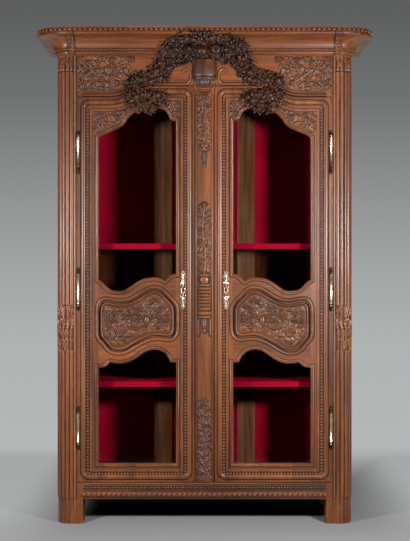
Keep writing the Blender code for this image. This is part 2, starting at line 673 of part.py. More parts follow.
def cornice_profile():
    """Section of the cornice, as (distance out from the body, height above the body)."""
    step = CORNICE_BASE_STEP
    outer = CORNICE_OVERHANG - step
    cove_top = CORNICE_HEIGHT - CORNICE_CROWN_HEIGHT
    section = [(-CORNICE_WALL, CLEARANCE), (step, CLEARANCE), (step, CORNICE_BASE_HEIGHT / 3),
               (CORNICE_FILLET_STEP, CORNICE_BASE_HEIGHT / 2), (CORNICE_FILLET_STEP, CORNICE_BASE_HEIGHT)]
    for index in range(COVE_STEPS + 1):
        angle = math.pi / 2 * index / COVE_STEPS
        section.append((COVE_START + (outer - COVE_START) * (1 - math.cos(angle)),
                        CORNICE_BASE_HEIGHT + (cove_top - CORNICE_BASE_HEIGHT) * math.sin(angle)))
    section += [(outer, cove_top + step / 2), (CORNICE_OVERHANG, cove_top + step),
                (CORNICE_OVERHANG, CORNICE_HEIGHT), (-CORNICE_WALL, CORNICE_HEIGHT)]
    return section


def sweep(path, section):
    """A closed section drawn along a level path, which has the outside on its left."""
    profile = bpy.data.curves.new("section", "CURVE")
    profile.dimensions = "2D"
    spline = profile.splines.new("POLY")
    spline.points.add(len(section) - 1)
    for point, (out, up) in zip(spline.points, section):
        point.co = (-out, up, 0.0, 1.0)
    spline.use_cyclic_u = True
    holder = bpy.data.objects.new("section", profile)
    CUTTERS.objects.link(holder)
    curve = bpy.data.curves.new("sweep", "CURVE")
    curve.dimensions = "2D"
    curve.fill_mode = "NONE"
    curve.bevel_mode = "OBJECT"
    curve.bevel_object = holder
    curve.use_fill_caps = True
    spline = curve.splines.new("POLY")
    spline.points.add(len(path) - 1)
    for point, (x, y) in zip(spline.points, path):
        point.co = (x, y, 0.0, 1.0)
    result = mesh_of_curve(curve, Matrix.Translation((0.0, 0.0, BODY_HEIGHT)))
    bpy.data.objects.remove(holder)
    return result


def cove_reach(height):
    """How far the cornice stands out at a height above the body, zero below it."""
    section = cornice_profile()[1:-1]
    reach = 0.0
    for out, up in section:
        if up <= height:
            reach = out
    return reach


def garland_path():
    """Core line of the left arm of the garland, from the middle outwards."""
    tall = BODY_HEIGHT + GARLAND_TOP_REACH - FRIEZE_BOTTOM
    line = [(-GARLAND_HALF_WIDTH * along, FRIEZE_BOTTOM + tall * up) for along, up in GARLAND_LINE]
    return smooth(line, GARLAND_STEPS)


def flower_places():
    """Flower heads in two rows along both arms, as (x, z, radius), with an even unevenness."""
    chance = random.Random(5)
    path = [Vector(point) for point in garland_path()]
    places = []
    due = 0.0
    for here, there in zip(path, path[1:]):
        due -= (there - here).length
        if due > 0:
            continue
        due = FLOWER_STEP
        along = (there - here).normalized()
        aside = Vector((-along.y, along.x))
        for offset in (-FLOWER_ROW_OFFSET, FLOWER_ROW_OFFSET):
            radius = FLOWER_RADIUS * chance.uniform(*FLOWER_SIZES)
            stray = chance.uniform(-FLOWER_STRAY, FLOWER_STRAY) * FLOWER_RADIUS
            spot = here + aside * offset + along * stray
            places += [(spot.x, spot.y, radius), (-spot.x, spot.y, radius)]
    return places


def flower_heads(above):
    """The flower heads that lie above the body, on the cornice, or below, on the frieze."""
    heads = []
    for x, z, radius in flower_places():
        if (z > BODY_HEIGHT) == above:
            sunk = FRONT_Y - FLOWER_SINK * cove_reach(z - BODY_HEIGHT)
            heads.append(dome((x, sunk, z), radius, FLOWER_HEIGHT))
    return heads


def bunch(heads, room):
    """Flower heads grown together, as far as they lie in a room."""
    return keep_within(join(*heads), room)


def make_cornice():
    section = cornice_profile()
    joint = HALF_WIDTH - CORNICE_RETURN_LENGTH
    front = prism("X", -joint, joint, [(FRONT_Y - out, BODY_HEIGHT + up) for out, up in section])
    reach = 2 * CORNICE_OVERHANG
    room = slab((-joint, FRONT_Y - reach, BODY_HEIGHT + CLEARANCE), (joint, FRONT_Y, BODY_HEIGHT + reach))
    keep(join(front, bunch(flower_heads(True), room)), "cornice_front", OAK)
    path = [(-joint - CLEARANCE, FRONT_Y), *corner_arc(POST_CORNER_RADIUS), (-HALF_WIDTH, BACK_Y)]
    keep_pair(sweep(path, section), "cornice", OAK)


def make_garland():
    face = FRONT_Y - CLEARANCE
    core = [(x, face, z) for x, z in garland_path()]
    band = BODY_HEIGHT - 2 * GARLAND_CORE_RADIUS
    ends = [(-GARLAND_BAND_HALF_WIDTH, face, band), (GARLAND_BAND_HALF_WIDTH, face, band)]
    garland = rod(ends, GARLAND_CORE_RADIUS)
    join(garland, rod(core, GARLAND_CORE_RADIUS), rod([(-x, y, z) for x, y, z in core], GARLAND_CORE_RADIUS))
    join(garland, *flower_heads(False))
    foot = PENDANT_BOTTOM + DOOR_END_PLAY
    profile = [(URN_RADIUS * out, URN_HEIGHT * up) for out, up in URN_PROFILE]
    urn = turned(profile, (0.0, face, foot), URN_SEGMENTS)
    join(garland, urn)
    reach = 2 * CORNICE_OVERHANG
    loop = frieze_loop(2 * CLEARANCE)
    top = BODY_HEIGHT - CLEARANCE
    keep_within(garland, prism("Y", FRONT_Y - reach, face, [(x, min(z, top)) for x, z in loop]))
    keep(garland, "frieze_garland", CARVED_OAK)


def door_edge(shape, level, rise):
    """A shaped edge of the left door between its two stiles."""
    start = -OUTER_SIGHT_X + CLEARANCE
    span = OUTER_SIGHT_X - INNER_SIGHT_X - 2 * CLEARANCE
    return smooth([(start + along * span, level + up * rise) for along, up in shape])


def opening(bottom, top):
    return bottom + list(reversed(top))


def sticking(line):
    """The small rounded moulding along an edge, on the plane of the door's face, cut off at the stiles."""
    path = [(x, MOULDING_Y, z) for x, z in line]
    moulding = rod(path, STICKING_RADIUS, 1, STICKING_HEIGHT / STICKING_RADIUS)
    inset = 2 * CLEARANCE
    low = (-OUTER_SIGHT_X + inset, FRONT_Y - STICKING_RADIUS, DOOR_BOTTOM)
    high = (-INNER_SIGHT_X - inset, DOOR_BACK_Y, DOOR_TOP + DOOR_TOP_RISE)
    return keep_within(moulding, slab(low, high))


def stile_torus(edge, inside, top):
    """Line of the torus on a stile: up near the leaf's edge and round to the rails at both ends."""
    way = 1 if inside > edge else -1
    upright = edge + way * TORUS_INSET
    lower, upper = [], []
    for step in range(CORNER_STEPS + 1):
        angle = math.pi / 2 * step / CORNER_STEPS
        x = upright + way * TORUS_CORNER * (1 - math.sin(angle))
        drop = TORUS_CORNER * (1 - math.cos(angle))
        lower.append((x, DOOR_BOTTOM + TORUS_INSET + drop))
        upper.append((x, top - TORUS_INSET - drop))
    return [(inside, lower[0][1]), *lower, *reversed(upper), (inside, upper[0][1])]


def torus(path):
    """The broad rounded moulding near the rim of a leaf."""
    return rod([(x, MOULDING_Y, z) for x, z in path], TORUS_RADIUS, 2, TORUS_HEIGHT / TORUS_RADIUS)


def make_doors(axes):
    upper_sill = door_edge(UPPER_SILL, UPPER_SILL_LOW, UPPER_SILL_RISE)
    upper_arch = door_edge(UPPER_ARCH, UPPER_ARCH_SPRING, UPPER_ARCH_RISE)
    panel_top = door_edge(PANEL_TOP, PANEL_HIGH, PANEL_TOP_RISE)
    panel_bottom = door_edge(PANEL_BOTTOM, PANEL_LOW, PANEL_BOTTOM_RISE)
    lower_arch = door_edge(LOWER_ARCH, LOWER_ARCH_SPRING, LOWER_ARCH_RISE)
    left_end, right_end = upper_sill[0][0], upper_sill[-1][0]
    lower_sill = [(left_end, LOWER_SILL), (right_end, LOWER_SILL)]
    inner_top = DOOR_TOP + DOOR_TOP_RISE
    glass_front = FRONT_Y + GLASS_FRONT_INSET
    panel_front = FRONT_Y + PANEL_FRONT_INSET
    lights = {"upper": opening(upper_sill, upper_arch), "lower": opening(lower_sill, lower_arch)}
    panel_loop = opening(panel_bottom, panel_top)
    lap = GLASS_LAP + 2 * CLEARANCE

    def rebated(piece):
        """Cuts the glass rebates and the panel groove that pass through a piece."""
        for loop in lights.values():
            cut(piece, prism("Y", glass_front - CLEARANCE, DOOR_BACK_Y + lap, grown(loop, lap)))
        groove = panel_front - CLEARANCE, panel_front + PANEL_THICKNESS + CLEARANCE
        return cut(piece, prism("Y", *groove, grown(panel_loop, lap)))

    def dressed(piece, lines):
        """Adds the sticking along shaped edges, given as outlines moved back from the opening."""
        for line in lines:
            join(piece, sticking(line))
        return piece

    def set_back(loop, edge_length, top):
        """The sticking's line along the bottom or top edge of an opening."""
        moved = grown(loop, STICKING_SETBACK)
        return moved[edge_length:] if top else moved[:edge_length]

    tail = 2 * CLEARANCE
    top_line = [(left_end + tail, DOOR_TOP - TORUS_INSET)]
    top_line += [(x, z - TORUS_INSET) for x, z in top_edge(0.0)]
    top_line.append((right_end - tail, inner_top - TORUS_INSET))
    rails = {
        "door_top_rail": (
            upper_arch + [(right_end, inner_top), *reversed(top_edge(0.0)), (left_end, DOOR_TOP)],
            [set_back(lights["upper"], len(upper_sill), True)],
            top_line,
        ),
        "door_upper_cross_rail": (
            panel_top + list(reversed(upper_sill)),
            [set_back(panel_loop, len(panel_bottom), True),
             set_back(lights["upper"], len(upper_sill), False)],
            None,
        ),
        "door_lower_cross_rail": (
            lower_arch + list(reversed(panel_bottom)),
            [set_back(lights["lower"], len(lower_sill), True),
             set_back(panel_loop, len(panel_bottom), False)],
            None,
        ),
        "door_bottom_rail": (
            [(left_end, DOOR_BOTTOM), (right_end, DOOR_BOTTOM), *reversed(lower_sill)],
            [set_back(lights["lower"], len(lower_sill), False)],
            [(left_end + tail, DOOR_BOTTOM + TORUS_INSET), (right_end - tail, DOOR_BOTTOM + TORUS_INSET)],
        ),
    }
    for name, (loop, lines, torus_line) in rails.items():
        rail = dressed(rebated(prism("Y", FRONT_Y, DOOR_BACK_Y, loop)), lines)
        if torus_line:
            join(rail, torus(torus_line))
        if name == "door_top_rail":
            join(rail, door_cluster())
        keep_pair(rail, name, OAK, axes)

    corners = [(loop[0][1], loop[-1][1]) for loop in lights.values()]
    inner_corners = [(bottom[-1][1], top[-1][1]) for bottom, top in
                     ((upper_sill, upper_arch), (lower_sill, lower_arch))]
    around_panel = grown(panel_loop, STICKING_SETBACK)
    cut_place = 3 * len(around_panel) // 4
    around_panel = around_panel[cut_place:] + around_panel[:cut_place + 1]
    stiles = (
        ("door_outer_stile", -DOOR_OUTER_X, -OUTER_SIGHT_X, DOOR_TOP, corners),
        ("door_inner_stile", -DOOR_INNER_X, -INNER_SIGHT_X, inner_top, inner_corners),
    )
    for name, edge, sight, top, levels in stiles:
        way = 1 if sight > edge else -1
        stile = rebated(slab((min(edge, sight), FRONT_Y, DOOR_BOTTOM), (max(edge, sight), DOOR_BACK_Y, top)))
        for low, high in levels:
            x = sight - way * STICKING_SETBACK
            line = [(x, MOULDING_Y, low - STICKING_RADIUS), (x, MOULDING_Y, high + STICKING_RADIUS)]
            join(stile, rod(line, STICKING_RADIUS, 1, STICKING_HEIGHT / STICKING_RADIUS))
        inside = sight - way * tail
        zone = slab((min(edge, inside), FRONT_Y - STICKING_RADIUS, DOOR_BOTTOM),
                    (max(edge, inside), DOOR_BACK_Y, top))
        path = [(x, MOULDING_Y, z) for x, z in around_panel]
        rounds = rod(path, STICKING_RADIUS, 1, STICKING_HEIGHT / STICKING_RADIUS)
        join(stile, keep_within(rounds, zone), torus(stile_torus(edge, inside, top)))
        if name == "door_outer_stile":
            for height in HINGE_HEIGHTS:
                half = KNUCKLE_LENGTH + FINIAL_LENGTH + DOOR_END_PLAY
                ends = [(-HINGE_X, HINGE_Y, height - half), (-HINGE_X, HINGE_Y, height + half)]
                cut(stile, rod(ends, KNUCKLE_RADIUS + HINGE_PROUD / 2, 4), grown_box(*hinge_leaf(height, 1)))
        keep_pair(stile, name, OAK, axes)

    for name, loop in lights.items():
        pane = prism("Y", glass_front, glass_front + GLASS_THICKNESS, grown(loop, GLASS_LAP))
        keep_pair(pane, "door_" + name + "_glass", GLASS, axes)
    panel = prism("Y", panel_front, panel_front + PANEL_THICKNESS, grown(panel_loop, GLASS_LAP))
    field = grown(panel_loop, -PANEL_FIELD_MARGIN)
    join(panel, prism("Y", panel_front - PANEL_FIELD_RISE, panel_front + PANEL_THICKNESS / 2, field))
    keep_pair(panel, "door_panel", CARVED_OAK, axes)


def door_cluster():
    """Flower heads at the foot of the garland's arm, on the door's top rail, cut off along the door's top."""
    span = OUTER_SIGHT_X - INNER_SIGHT_X
    centre = -OUTER_SIGHT_X + CLUSTER_PLACE * span, DOOR_TOP + DOOR_TOP_RISE - CLUSTER_DROP
    heads = []
    for index in range(CLUSTER_COUNT):
        angle = 2 * math.pi * index / CLUSTER_COUNT + math.pi / 2
        x = centre[0] + CLUSTER_STRETCH * FLOWER_RADIUS * math.cos(angle)
        z = centre[1] + FLOWER_RADIUS * math.sin(angle)
        heads.append(dome((x, FRONT_Y, z), FLOWER_RADIUS, FLOWER_HEIGHT))
    top = [(x, z - 2 * CLEARANCE) for x, z in top_edge(0.0)]
    low = DOOR_TOP - TOP_RAIL_SIDE_HEIGHT
    inner = -INNER_SIGHT_X - 2 * CLEARANCE
    loop = [(top[0][0], low), (inner, low), (inner, top[-1][1]), *reversed(top)]
    reach = 2 * FLOWER_HEIGHT
    return bunch(heads, prism("Y", FRONT_Y - reach, FRONT_Y + GLASS_FRONT_INSET / 2, loop))


def make_strip(axis):
    """The false stile on the left leaf, which covers the meeting of the two doors."""
    left, right = -DOOR_INNER_X + CLEARANCE, DOOR_INNER_X - STRIP_PLAY
    face = FRONT_Y - STRIP_PROUD
    plan = [(left, DOOR_BACK_Y), (right, DOOR_BACK_Y), (right, face + STRIP_CHAMFER),
            (right - STRIP_CHAMFER, face), (left + STRIP_CHAMFER, face), (left, face + STRIP_CHAMFER)]
    top = PENDANT_BOTTOM - DOOR_END_PLAY
    keep(prism("Z", DOOR_BOTTOM, top, plan), "centre_strip", OAK, axis)


def make_hinges(axes):
    for height, place in zip(HINGE_HEIGHTS, ("lower", "middle", "upper")):
        centre = (-HINGE_X, HINGE_Y, height)
        end = KNUCKLE_LENGTH
        tip = [(KNUCKLE_RADIUS * out, end + FINIAL_LENGTH * up) for out, up in FINIAL_PROFILE]
        tip.append((0.0, end + FINIAL_LENGTH))
        fixed = [(0.0, PIN_LENGTH), (PIN_RADIUS, PIN_LENGTH), (PIN_RADIUS, 0.0), (KNUCKLE_RADIUS, 0.0),
                 (KNUCKLE_RADIUS, -end)] + [(r, -z) for r, z in tip]
        bore = PIN_RADIUS + PIN_PLAY
        moving = [*reversed(tip), (KNUCKLE_RADIUS, end), (KNUCKLE_RADIUS, PIN_PLAY), (bore, PIN_PLAY),
                  (bore, PIN_LENGTH + PIN_PLAY), (0.0, PIN_LENGTH + PIN_PLAY)]
        lower = join(turned(fixed, centre, HINGE_SEGMENTS), slab(*hinge_leaf(height, -1)))
        upper = join(turned(moving, centre, HINGE_SEGMENTS), slab(*hinge_leaf(height, 1)))
        keep_pair(lower, place + "_hinge_pin", BRASS)
        keep_pair(upper, place + "_hinge_knuckle", BRASS, axes)


def make_key_plates(axes):
    """Scalloped keyhole plates on the inner stiles."""
    middle = -(DOOR_INNER_X + rim_width() + INNER_SIGHT_X - STICKING_RADIUS * 2) / 2
    right = []
    for step in range(KEY_PLATE_STEPS + 1):
        share = step / KEY_PLATE_STEPS
        swell = KEY_PLATE_MEAN + KEY_PLATE_SWELL * math.cos(4 * math.pi * (share - 0.5))
        tip = math.sin(math.pi * min(max(share, KEY_PLATE_TIP), 1 - KEY_PLATE_TIP)) ** KEY_PLATE_ROUNDING
        width = KEY_PLATE_WIDTH / 2 * swell * tip
        right.append((width, KEYHOLE_HEIGHT + KEY_PLATE_LENGTH * (share - 0.5)))
    loop = [(middle + w, z) for w, z in right] + [(middle - w, z) for w, z in reversed(right)]
    hole = [(middle + KEY_PLATE_WIDTH * out, KEYHOLE_HEIGHT + KEY_PLATE_WIDTH * up) for out, up in KEYHOLE]
    back = FRONT_Y - CLEARANCE
    keep_pair(prism("Y", back - KEY_PLATE_THICKNESS, back, loop, hole), "key_plate", BRASS, axes)


def rim_width():
    """Width of the torus and its margin along the rim of a leaf."""
    return TORUS_INSET + TORUS_RADIUS


def make_lock(axis):
    """Iron box lock on the inside of the right door, with its sliding bolt drawn back."""
    left = DOOR_INNER_X + LOCK_EDGE_SETBACK
    back = DOOR_BACK_Y + CLEARANCE
    low = KEYHOLE_HEIGHT - LOCK_HEIGHT / 2
    case = slab((left, back, low), (left + LOCK_WIDTH, back + LOCK_THICKNESS, low + LOCK_HEIGHT))
    middle = back + LOCK_THICKNESS / 2
    bolt_low = (left, middle - BOLT_THICKNESS / 2, KEYHOLE_HEIGHT - BOLT_HEIGHT / 2)
    bolt_high = (left + BOLT_LENGTH, middle + BOLT_THICKNESS / 2, KEYHOLE_HEIGHT + BOLT_HEIGHT / 2)
    way_out = (bolt_low[0] - LOCK_WIDTH, *bolt_low[1:])
    cut(case, grown_box(way_out, bolt_high, BOLT_PLAY))
    keep(case, "lock_case", IRON, axis)
    keep(slab(bolt_low, bolt_high), "lock_bolt", IRON, axis)


def make_axis(name, x):
    """An empty on a door's hinge axis, which carries the door."""
    axis = bpy.data.objects.new(name, None)
    axis.location = (x, HINGE_Y, 0.0)
    PARTS.objects.link(axis)
    return axis


def main():
    axes = make_axis("left_door_axis", -HINGE_X), make_axis("right_door_axis", HINGE_X)
    make_posts()
    make_front_rails()
    make_sides()
    make_inside()
    make_cornice()
    make_garland()
    make_doors(axes)
    make_strip(axes[0])
    make_hinges(axes)
    make_key_plates(axes)
    make_lock(axes[1])


main()
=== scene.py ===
"""Display armoire: the looks of a carved oak armoire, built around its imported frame.

Metres, +Z up, front towards -Y. Pieces are made in place for the left side and mirrored where the
object has a pair, and each rides on a body of the frame.
"""

import json
import math
import random

import bpy
import numpy as np
from mathutils import Matrix, Vector


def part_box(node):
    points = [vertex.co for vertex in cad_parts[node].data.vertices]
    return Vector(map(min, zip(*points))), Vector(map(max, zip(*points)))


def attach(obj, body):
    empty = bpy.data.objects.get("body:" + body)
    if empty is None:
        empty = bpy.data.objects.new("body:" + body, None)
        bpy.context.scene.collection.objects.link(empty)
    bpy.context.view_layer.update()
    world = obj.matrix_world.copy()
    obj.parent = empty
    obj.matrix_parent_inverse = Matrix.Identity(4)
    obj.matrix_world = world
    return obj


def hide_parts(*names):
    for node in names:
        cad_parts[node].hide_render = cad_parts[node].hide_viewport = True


bl_info = {
    "name": "Display armoire",
    "version": (1, 0, 0),
    "blender": (4, 5, 0),
    "location": "View3D > Sidebar > Armoire",
    "description": "Builds a carved oak display armoire around its frame",
    "category": "Add Mesh",
}

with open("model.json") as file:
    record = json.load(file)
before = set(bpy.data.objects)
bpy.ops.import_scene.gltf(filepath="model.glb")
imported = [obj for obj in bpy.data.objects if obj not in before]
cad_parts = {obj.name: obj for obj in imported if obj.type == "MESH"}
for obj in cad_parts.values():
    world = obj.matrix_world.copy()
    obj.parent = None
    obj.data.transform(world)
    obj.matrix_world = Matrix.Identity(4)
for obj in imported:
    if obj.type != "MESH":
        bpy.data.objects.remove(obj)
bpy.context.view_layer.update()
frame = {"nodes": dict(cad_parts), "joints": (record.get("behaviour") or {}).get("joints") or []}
SIDES = ("left", "right")
DOORS = ("left_door", "right_door")
CARCASS = ("carcass", "carcass")
QUARTER = math.pi / 2
TURN = 2 * math.pi

# Places read from the frame, on the left side
POST_LOW, POST_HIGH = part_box("front_post_left")
FRONT_Y = POST_LOW.y
HALF_WIDTH = -POST_LOW.x
POST_INNER_X = -POST_HIGH.x
POST_BACK_Y = POST_HIGH.y
BODY_HEIGHT = POST_HIGH.z
BACK_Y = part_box("back_post_left")[1].y
CORNICE_JOINT_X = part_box("cornice_front")[1].x
OUTER_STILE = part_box("door_outer_stile_left")
INNER_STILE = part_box("door_inner_stile_left")
DOOR_OUTER_X = OUTER_STILE[0].x
OUTER_SIGHT_X = OUTER_STILE[1].x
INNER_SIGHT_X = INNER_STILE[0].x
DOOR_INNER_X = INNER_STILE[1].x
DOOR_BOTTOM = OUTER_STILE[0].z
DOOR_TOP = OUTER_STILE[1].z
DOOR_INNER_TOP = INNER_STILE[1].z
STRIP_LOW, STRIP_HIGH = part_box("centre_strip")

# Sizes of the shaped edges, as the frame's own pieces have them
POST_CORNER_RADIUS = 0.060
POST_CENTRE = (-HALF_WIDTH + POST_CORNER_RADIUS, FRONT_Y + POST_CORNER_RADIUS)
DOOR_GAP = 0.004
PENDANT_DROP = 0.034
PENDANT_HALF_WIDTH = 0.0435
TOP_EDGE_START = 0.15
TOP_EDGE_END = 0.66
LOWER_SILL = 0.2855

# Shaped lines of a door: level, rise, and points as (share of the way to the inner stile, share of the rise)
UPPER_ARCH = (1.838, 0.142, (
    (0.0, -0.05), (0.07, 0.06), (0.16, 0.155), (0.27, 0.285), (0.32, 0.38), (0.355, 0.52), (0.395, 0.65),
    (0.45, 0.775), (0.53, 0.88), (0.65, 0.955), (0.77, 0.935), (0.825, 0.905), (0.87, 0.825), (0.897, 0.73),
    (0.915, 0.61), (0.942, 0.53), (1.0, 0.51)))
UPPER_SILL = (1.101, 0.087, (
    (0.0, 0.63), (0.05, 0.50), (0.085, 0.33), (0.15, 0.10), (0.24, 0.02), (0.325, 0.045), (0.40, 0.23),
    (0.475, 0.465), (0.57, 0.67), (0.68, 0.755), (0.77, 0.745), (0.83, 0.645), (0.857, 0.57), (0.893, 0.745),
    (0.942, 0.905), (1.0, 0.96)))
PANEL_TOP = (1.036, 0.060, (
    (0.0, -0.30), (0.012, -0.03), (0.03, 0.22), (0.066, 0.39), (0.152, 0.353), (0.25, 0.235), (0.35, 0.252),
    (0.423, 0.393), (0.522, 0.733), (0.62, 1.113), (0.707, 1.278), (0.788, 1.223), (0.837, 0.993),
    (0.893, 0.615), (0.945, 0.32), (0.98, 0.02), (1.0, -0.30)))
PANEL_BOTTOM = (0.828, 0.077, (
    (0.0, 0.80), (0.02, 0.63), (0.055, 0.47), (0.095, 0.26), (0.13, 0.02), (0.19, -0.144), (0.275, -0.175),
    (0.36, -0.09), (0.448, 0.175), (0.547, 0.44), (0.646, 0.649), (0.744, 0.736), (0.844, 0.681),
    (0.925, 0.66), (0.97, 0.76), (0.99, 0.93), (1.0, 1.10)))
LOWER_ARCH = (0.744, 0.080, (
    (0.0, -0.055), (0.05, -0.05), (0.085, 0.0), (0.115, 0.10), (0.14, 0.21), (0.165, 0.245), (0.23, 0.19),
    (0.30, 0.19), (0.37, 0.24), (0.445, 0.385), (0.515, 0.59), (0.58, 0.805), (0.645, 0.96), (0.707, 1.01),
    (0.77, 0.99), (0.825, 0.885), (0.87, 0.72), (0.905, 0.49), (0.924, 0.285), (0.942, 0.25), (1.0, 0.245)))

# How far a piece laid on a face reaches into it
SUNK = -0.0008
# Distance between the rows of a staggered grid, as a share of its spacing
STAGGER = 0.87


def length(name, description, default):
    """A size in metres that a user may change."""
    return bpy.props.FloatProperty(name=name, description=description, default=default, min=0.0001,
                                   unit="LENGTH", precision=4)


def colour(name, description, default):
    """A colour, in linear values, that a user may change."""
    return bpy.props.FloatVectorProperty(name=name, description=description, default=default, size=3,
                                         min=0.0, max=1.0, subtype="COLOR")


def power(name, description, default):
    """The power of a lamp, in watts, that a user may change."""
    return bpy.props.FloatProperty(name=name, description=description, default=default, unit="POWER")


class ArmoireFinish(bpy.types.PropertyGroup):
    """Colours of the finishes."""

    oak_light: colour("Oak, light", "Early wood of the waxed oak", (0.255, 0.080, 0.023))
    oak_dark: colour("Oak, dark", "Late wood of the waxed oak", (0.074, 0.021, 0.006))
    # Old wax in the carving's hollows, darkened further as painted shade
    oak_hollow: colour("Oak, hollows", "Old wax and dirt in the carving", (0.018, 0.007, 0.004))
    # High places: wear rubbed pale, and partly a painted highlight
    oak_worn: colour("Oak, worn", "High places rubbed pale", (0.330, 0.150, 0.075))
    # Painted shade in the deep parts of the garland
    bouquet_dark: colour("Bouquet, dark", "Deep parts of the flower garland", (0.006, 0.0034, 0.0022))
    # Petal tips: dust and a painted highlight
    bouquet_worn: colour("Bouquet, tips", "Petal tips of the flower garland", (0.140, 0.085, 0.058))
    inside_oak: colour("Inside oak", "Bare old oak inside", (0.180, 0.096, 0.052))
    cloth: colour("Cloth", "Crimson lining cloth", (0.300, 0.0011, 0.0175))
    brass: colour("Brass", "Polished pale brass", (0.800, 0.730, 0.560))
    iron: colour("Iron", "Dark iron and bronze", (0.045, 0.038, 0.032))


class ArmoireCarving(bpy.types.PropertyGroup):
    """Sizes of the mouldings and the carving."""

    bead_pitch: length("Bead pitch", "Distance between the door's leaning beads", 0.0150)
    bead_width: length("Bead width", "Width of a bead row on the doors", 0.0135)
    bead_height: length("Bead height", "How far a bead stands up", 0.0075)
    pearl_pitch: length("Pearl pitch", "Distance between the small pearls", 0.0115)
    pearl_width: length("Pearl width", "Width of a small pearl", 0.0085)
    grid: length("Carving grid", "Distance between points of a carved face", 0.0016)
    flower_depth: length("Flower depth", "Relief of a carved flower", 0.0070)
    leaf_depth: length("Leaf depth", "Relief of a carved leaf", 0.0050)
    bouquet_flower: length("Bouquet flower", "Radius of a flower in the garland", 0.0090)
    bouquet_leaf: length("Bouquet leaf", "Length of a leaf in the garland", 0.0195)


class ArmoireStage(bpy.types.PropertyGroup):
    """The camera and the light."""

    distance: length("Camera distance", "From the front of the armoire to the camera", 5.5)
    eye_height: length("Eye height", "Height of the camera above the floor", 1.2002)
    lens: bpy.props.FloatProperty(name="Lens", description="Focal length in millimetres", default=77.2)
    key_power: power("Key light", "Light from the right", 79.0)
    side_power: power("Side light", "Light from the left", 60.0)
    fill_power: power("Fill light", "Wide light from above the camera", 1.2)
    rear_power: power("Rear light", "Light on the back, from above the wall", 22.0)


def settings():
    """The three groups of values kept with the scene."""
    scene = bpy.context.scene
    return scene.armoire_finish, scene.armoire_carving, scene.armoire_stage


# Materials


def add_node(tree, kind, inputs=None, **values):
    """A new node with its properties set and its inputs linked to sockets or set to values."""
    node = tree.nodes.new(kind)
    for key, value in values.items():
        setattr(node, key, value)
    fill_inputs(tree, node, inputs or {})
    return node


def fill_inputs(tree, node, inputs):
    """Links each input named to a socket, or sets it to a value."""
    for key, value in inputs.items():
        if isinstance(value, bpy.types.NodeSocket):
            tree.links.new(value, node.inputs[key])
        else:
            node.inputs[key].default_value = value


def new_group(name, inputs, outputs):
    """An empty shader node group with its sockets, and its two end nodes."""
    group = bpy.data.node_groups.new(name, "ShaderNodeTree")
    for label, kind, value in inputs:
        socket = group.interface.new_socket(name=label, in_out="INPUT", socket_type="NodeSocket" + kind)
        if value is not None:
            socket.default_value = value
    for label, kind in outputs:
        group.interface.new_socket(name=label, in_out="OUTPUT", socket_type="NodeSocket" + kind)
    return group, add_node(group, "NodeGroupInput").outputs, add_node(group, "NodeGroupOutput")


def math_node(tree, operation, first, second=0.0):
    """One sum; each side is a socket or a number."""
    return add_node(tree, "ShaderNodeMath", {0: first, 1: second}, operation=operation).outputs[0]


def scaled_node(tree, value, factor, offset):
    """A value times a factor, plus an offset that is a socket or a number."""
    return math_node(tree, "ADD", math_node(tree, "MULTIPLY", value, factor), offset)


def mix_node(tree, share, first, second):
    """A colour between two others; share is a socket."""
    return add_node(tree, "ShaderNodeMix", {0: share, 6: first, 7: second}, data_type="RGBA").outputs[2]


def mix_shaders(tree, share, first, second):
    """A shader between two others, put out as the surface."""
    mixed = add_node(tree, "ShaderNodeMixShader", {0: share, 1: first, 2: second}).outputs["Shader"]
    tree.links.new(mixed, tree.nodes["Material Output"].inputs["Surface"])
    return mixed


def span_node(tree, value, low, high):
    """A value stretched so that low becomes 0 and high becomes 1, and kept there."""
    return add_node(tree, "ShaderNodeMapRange", {"Value": value, "From Min": low, "From Max": high},
                    interpolation_type="SMOOTHSTEP").outputs["Result"]


def noise_node(tree, vector, scale, detail, distortion=0.0):
    """A noise value read at a vector."""
    inputs = {"Vector": vector, "Scale": scale, "Detail": detail, "Distortion": distortion}
    return add_node(tree, "ShaderNodeTexNoise", inputs).outputs["Fac"]


def object_place(tree):
    """The place on the object, in its own coordinates."""
    return add_node(tree, "ShaderNodeTexCoord").outputs["Object"]


def grain_group():
    """Wood grain: streaks along the third axis of the vector, with pores and broad flames."""
    group, given, end = new_group(
        "oak_grain",
        (("Vector", "Vector", None), ("Light", "Color", (0.3, 0.15, 0.07, 1.0)),
         ("Dark", "Color", (0.12, 0.05, 0.02, 1.0))),
        (("Colour", "Color"), ("Height", "Float"), ("Polish", "Float")))
    vector = given["Vector"]
    flames = span_node(group, noise_node(group, vector, 7.0, 3.0, 0.9), 0.36, 0.66)
    streaks = span_node(group, noise_node(group, vector, 55.0, 4.0, 0.2), 0.30, 0.72)
    pores = span_node(group, noise_node(group, vector, 240.0, 2.0), 0.36, 0.46)
    share = scaled_node(group, flames, 0.55, math_node(group, "MULTIPLY", streaks, 0.45))
    tone = mix_node(group, share, given["Dark"], given["Light"])
    fill_inputs(group, end, {
        "Colour": mix_node(group, scaled_node(group, pores, 0.35, 0.65), given["Dark"], tone),
        "Height": scaled_node(group, pores, 0.6, math_node(group, "MULTIPLY", streaks, 0.4)),
        "Polish": scaled_node(group, share, -0.08, 0.42)})
    return group


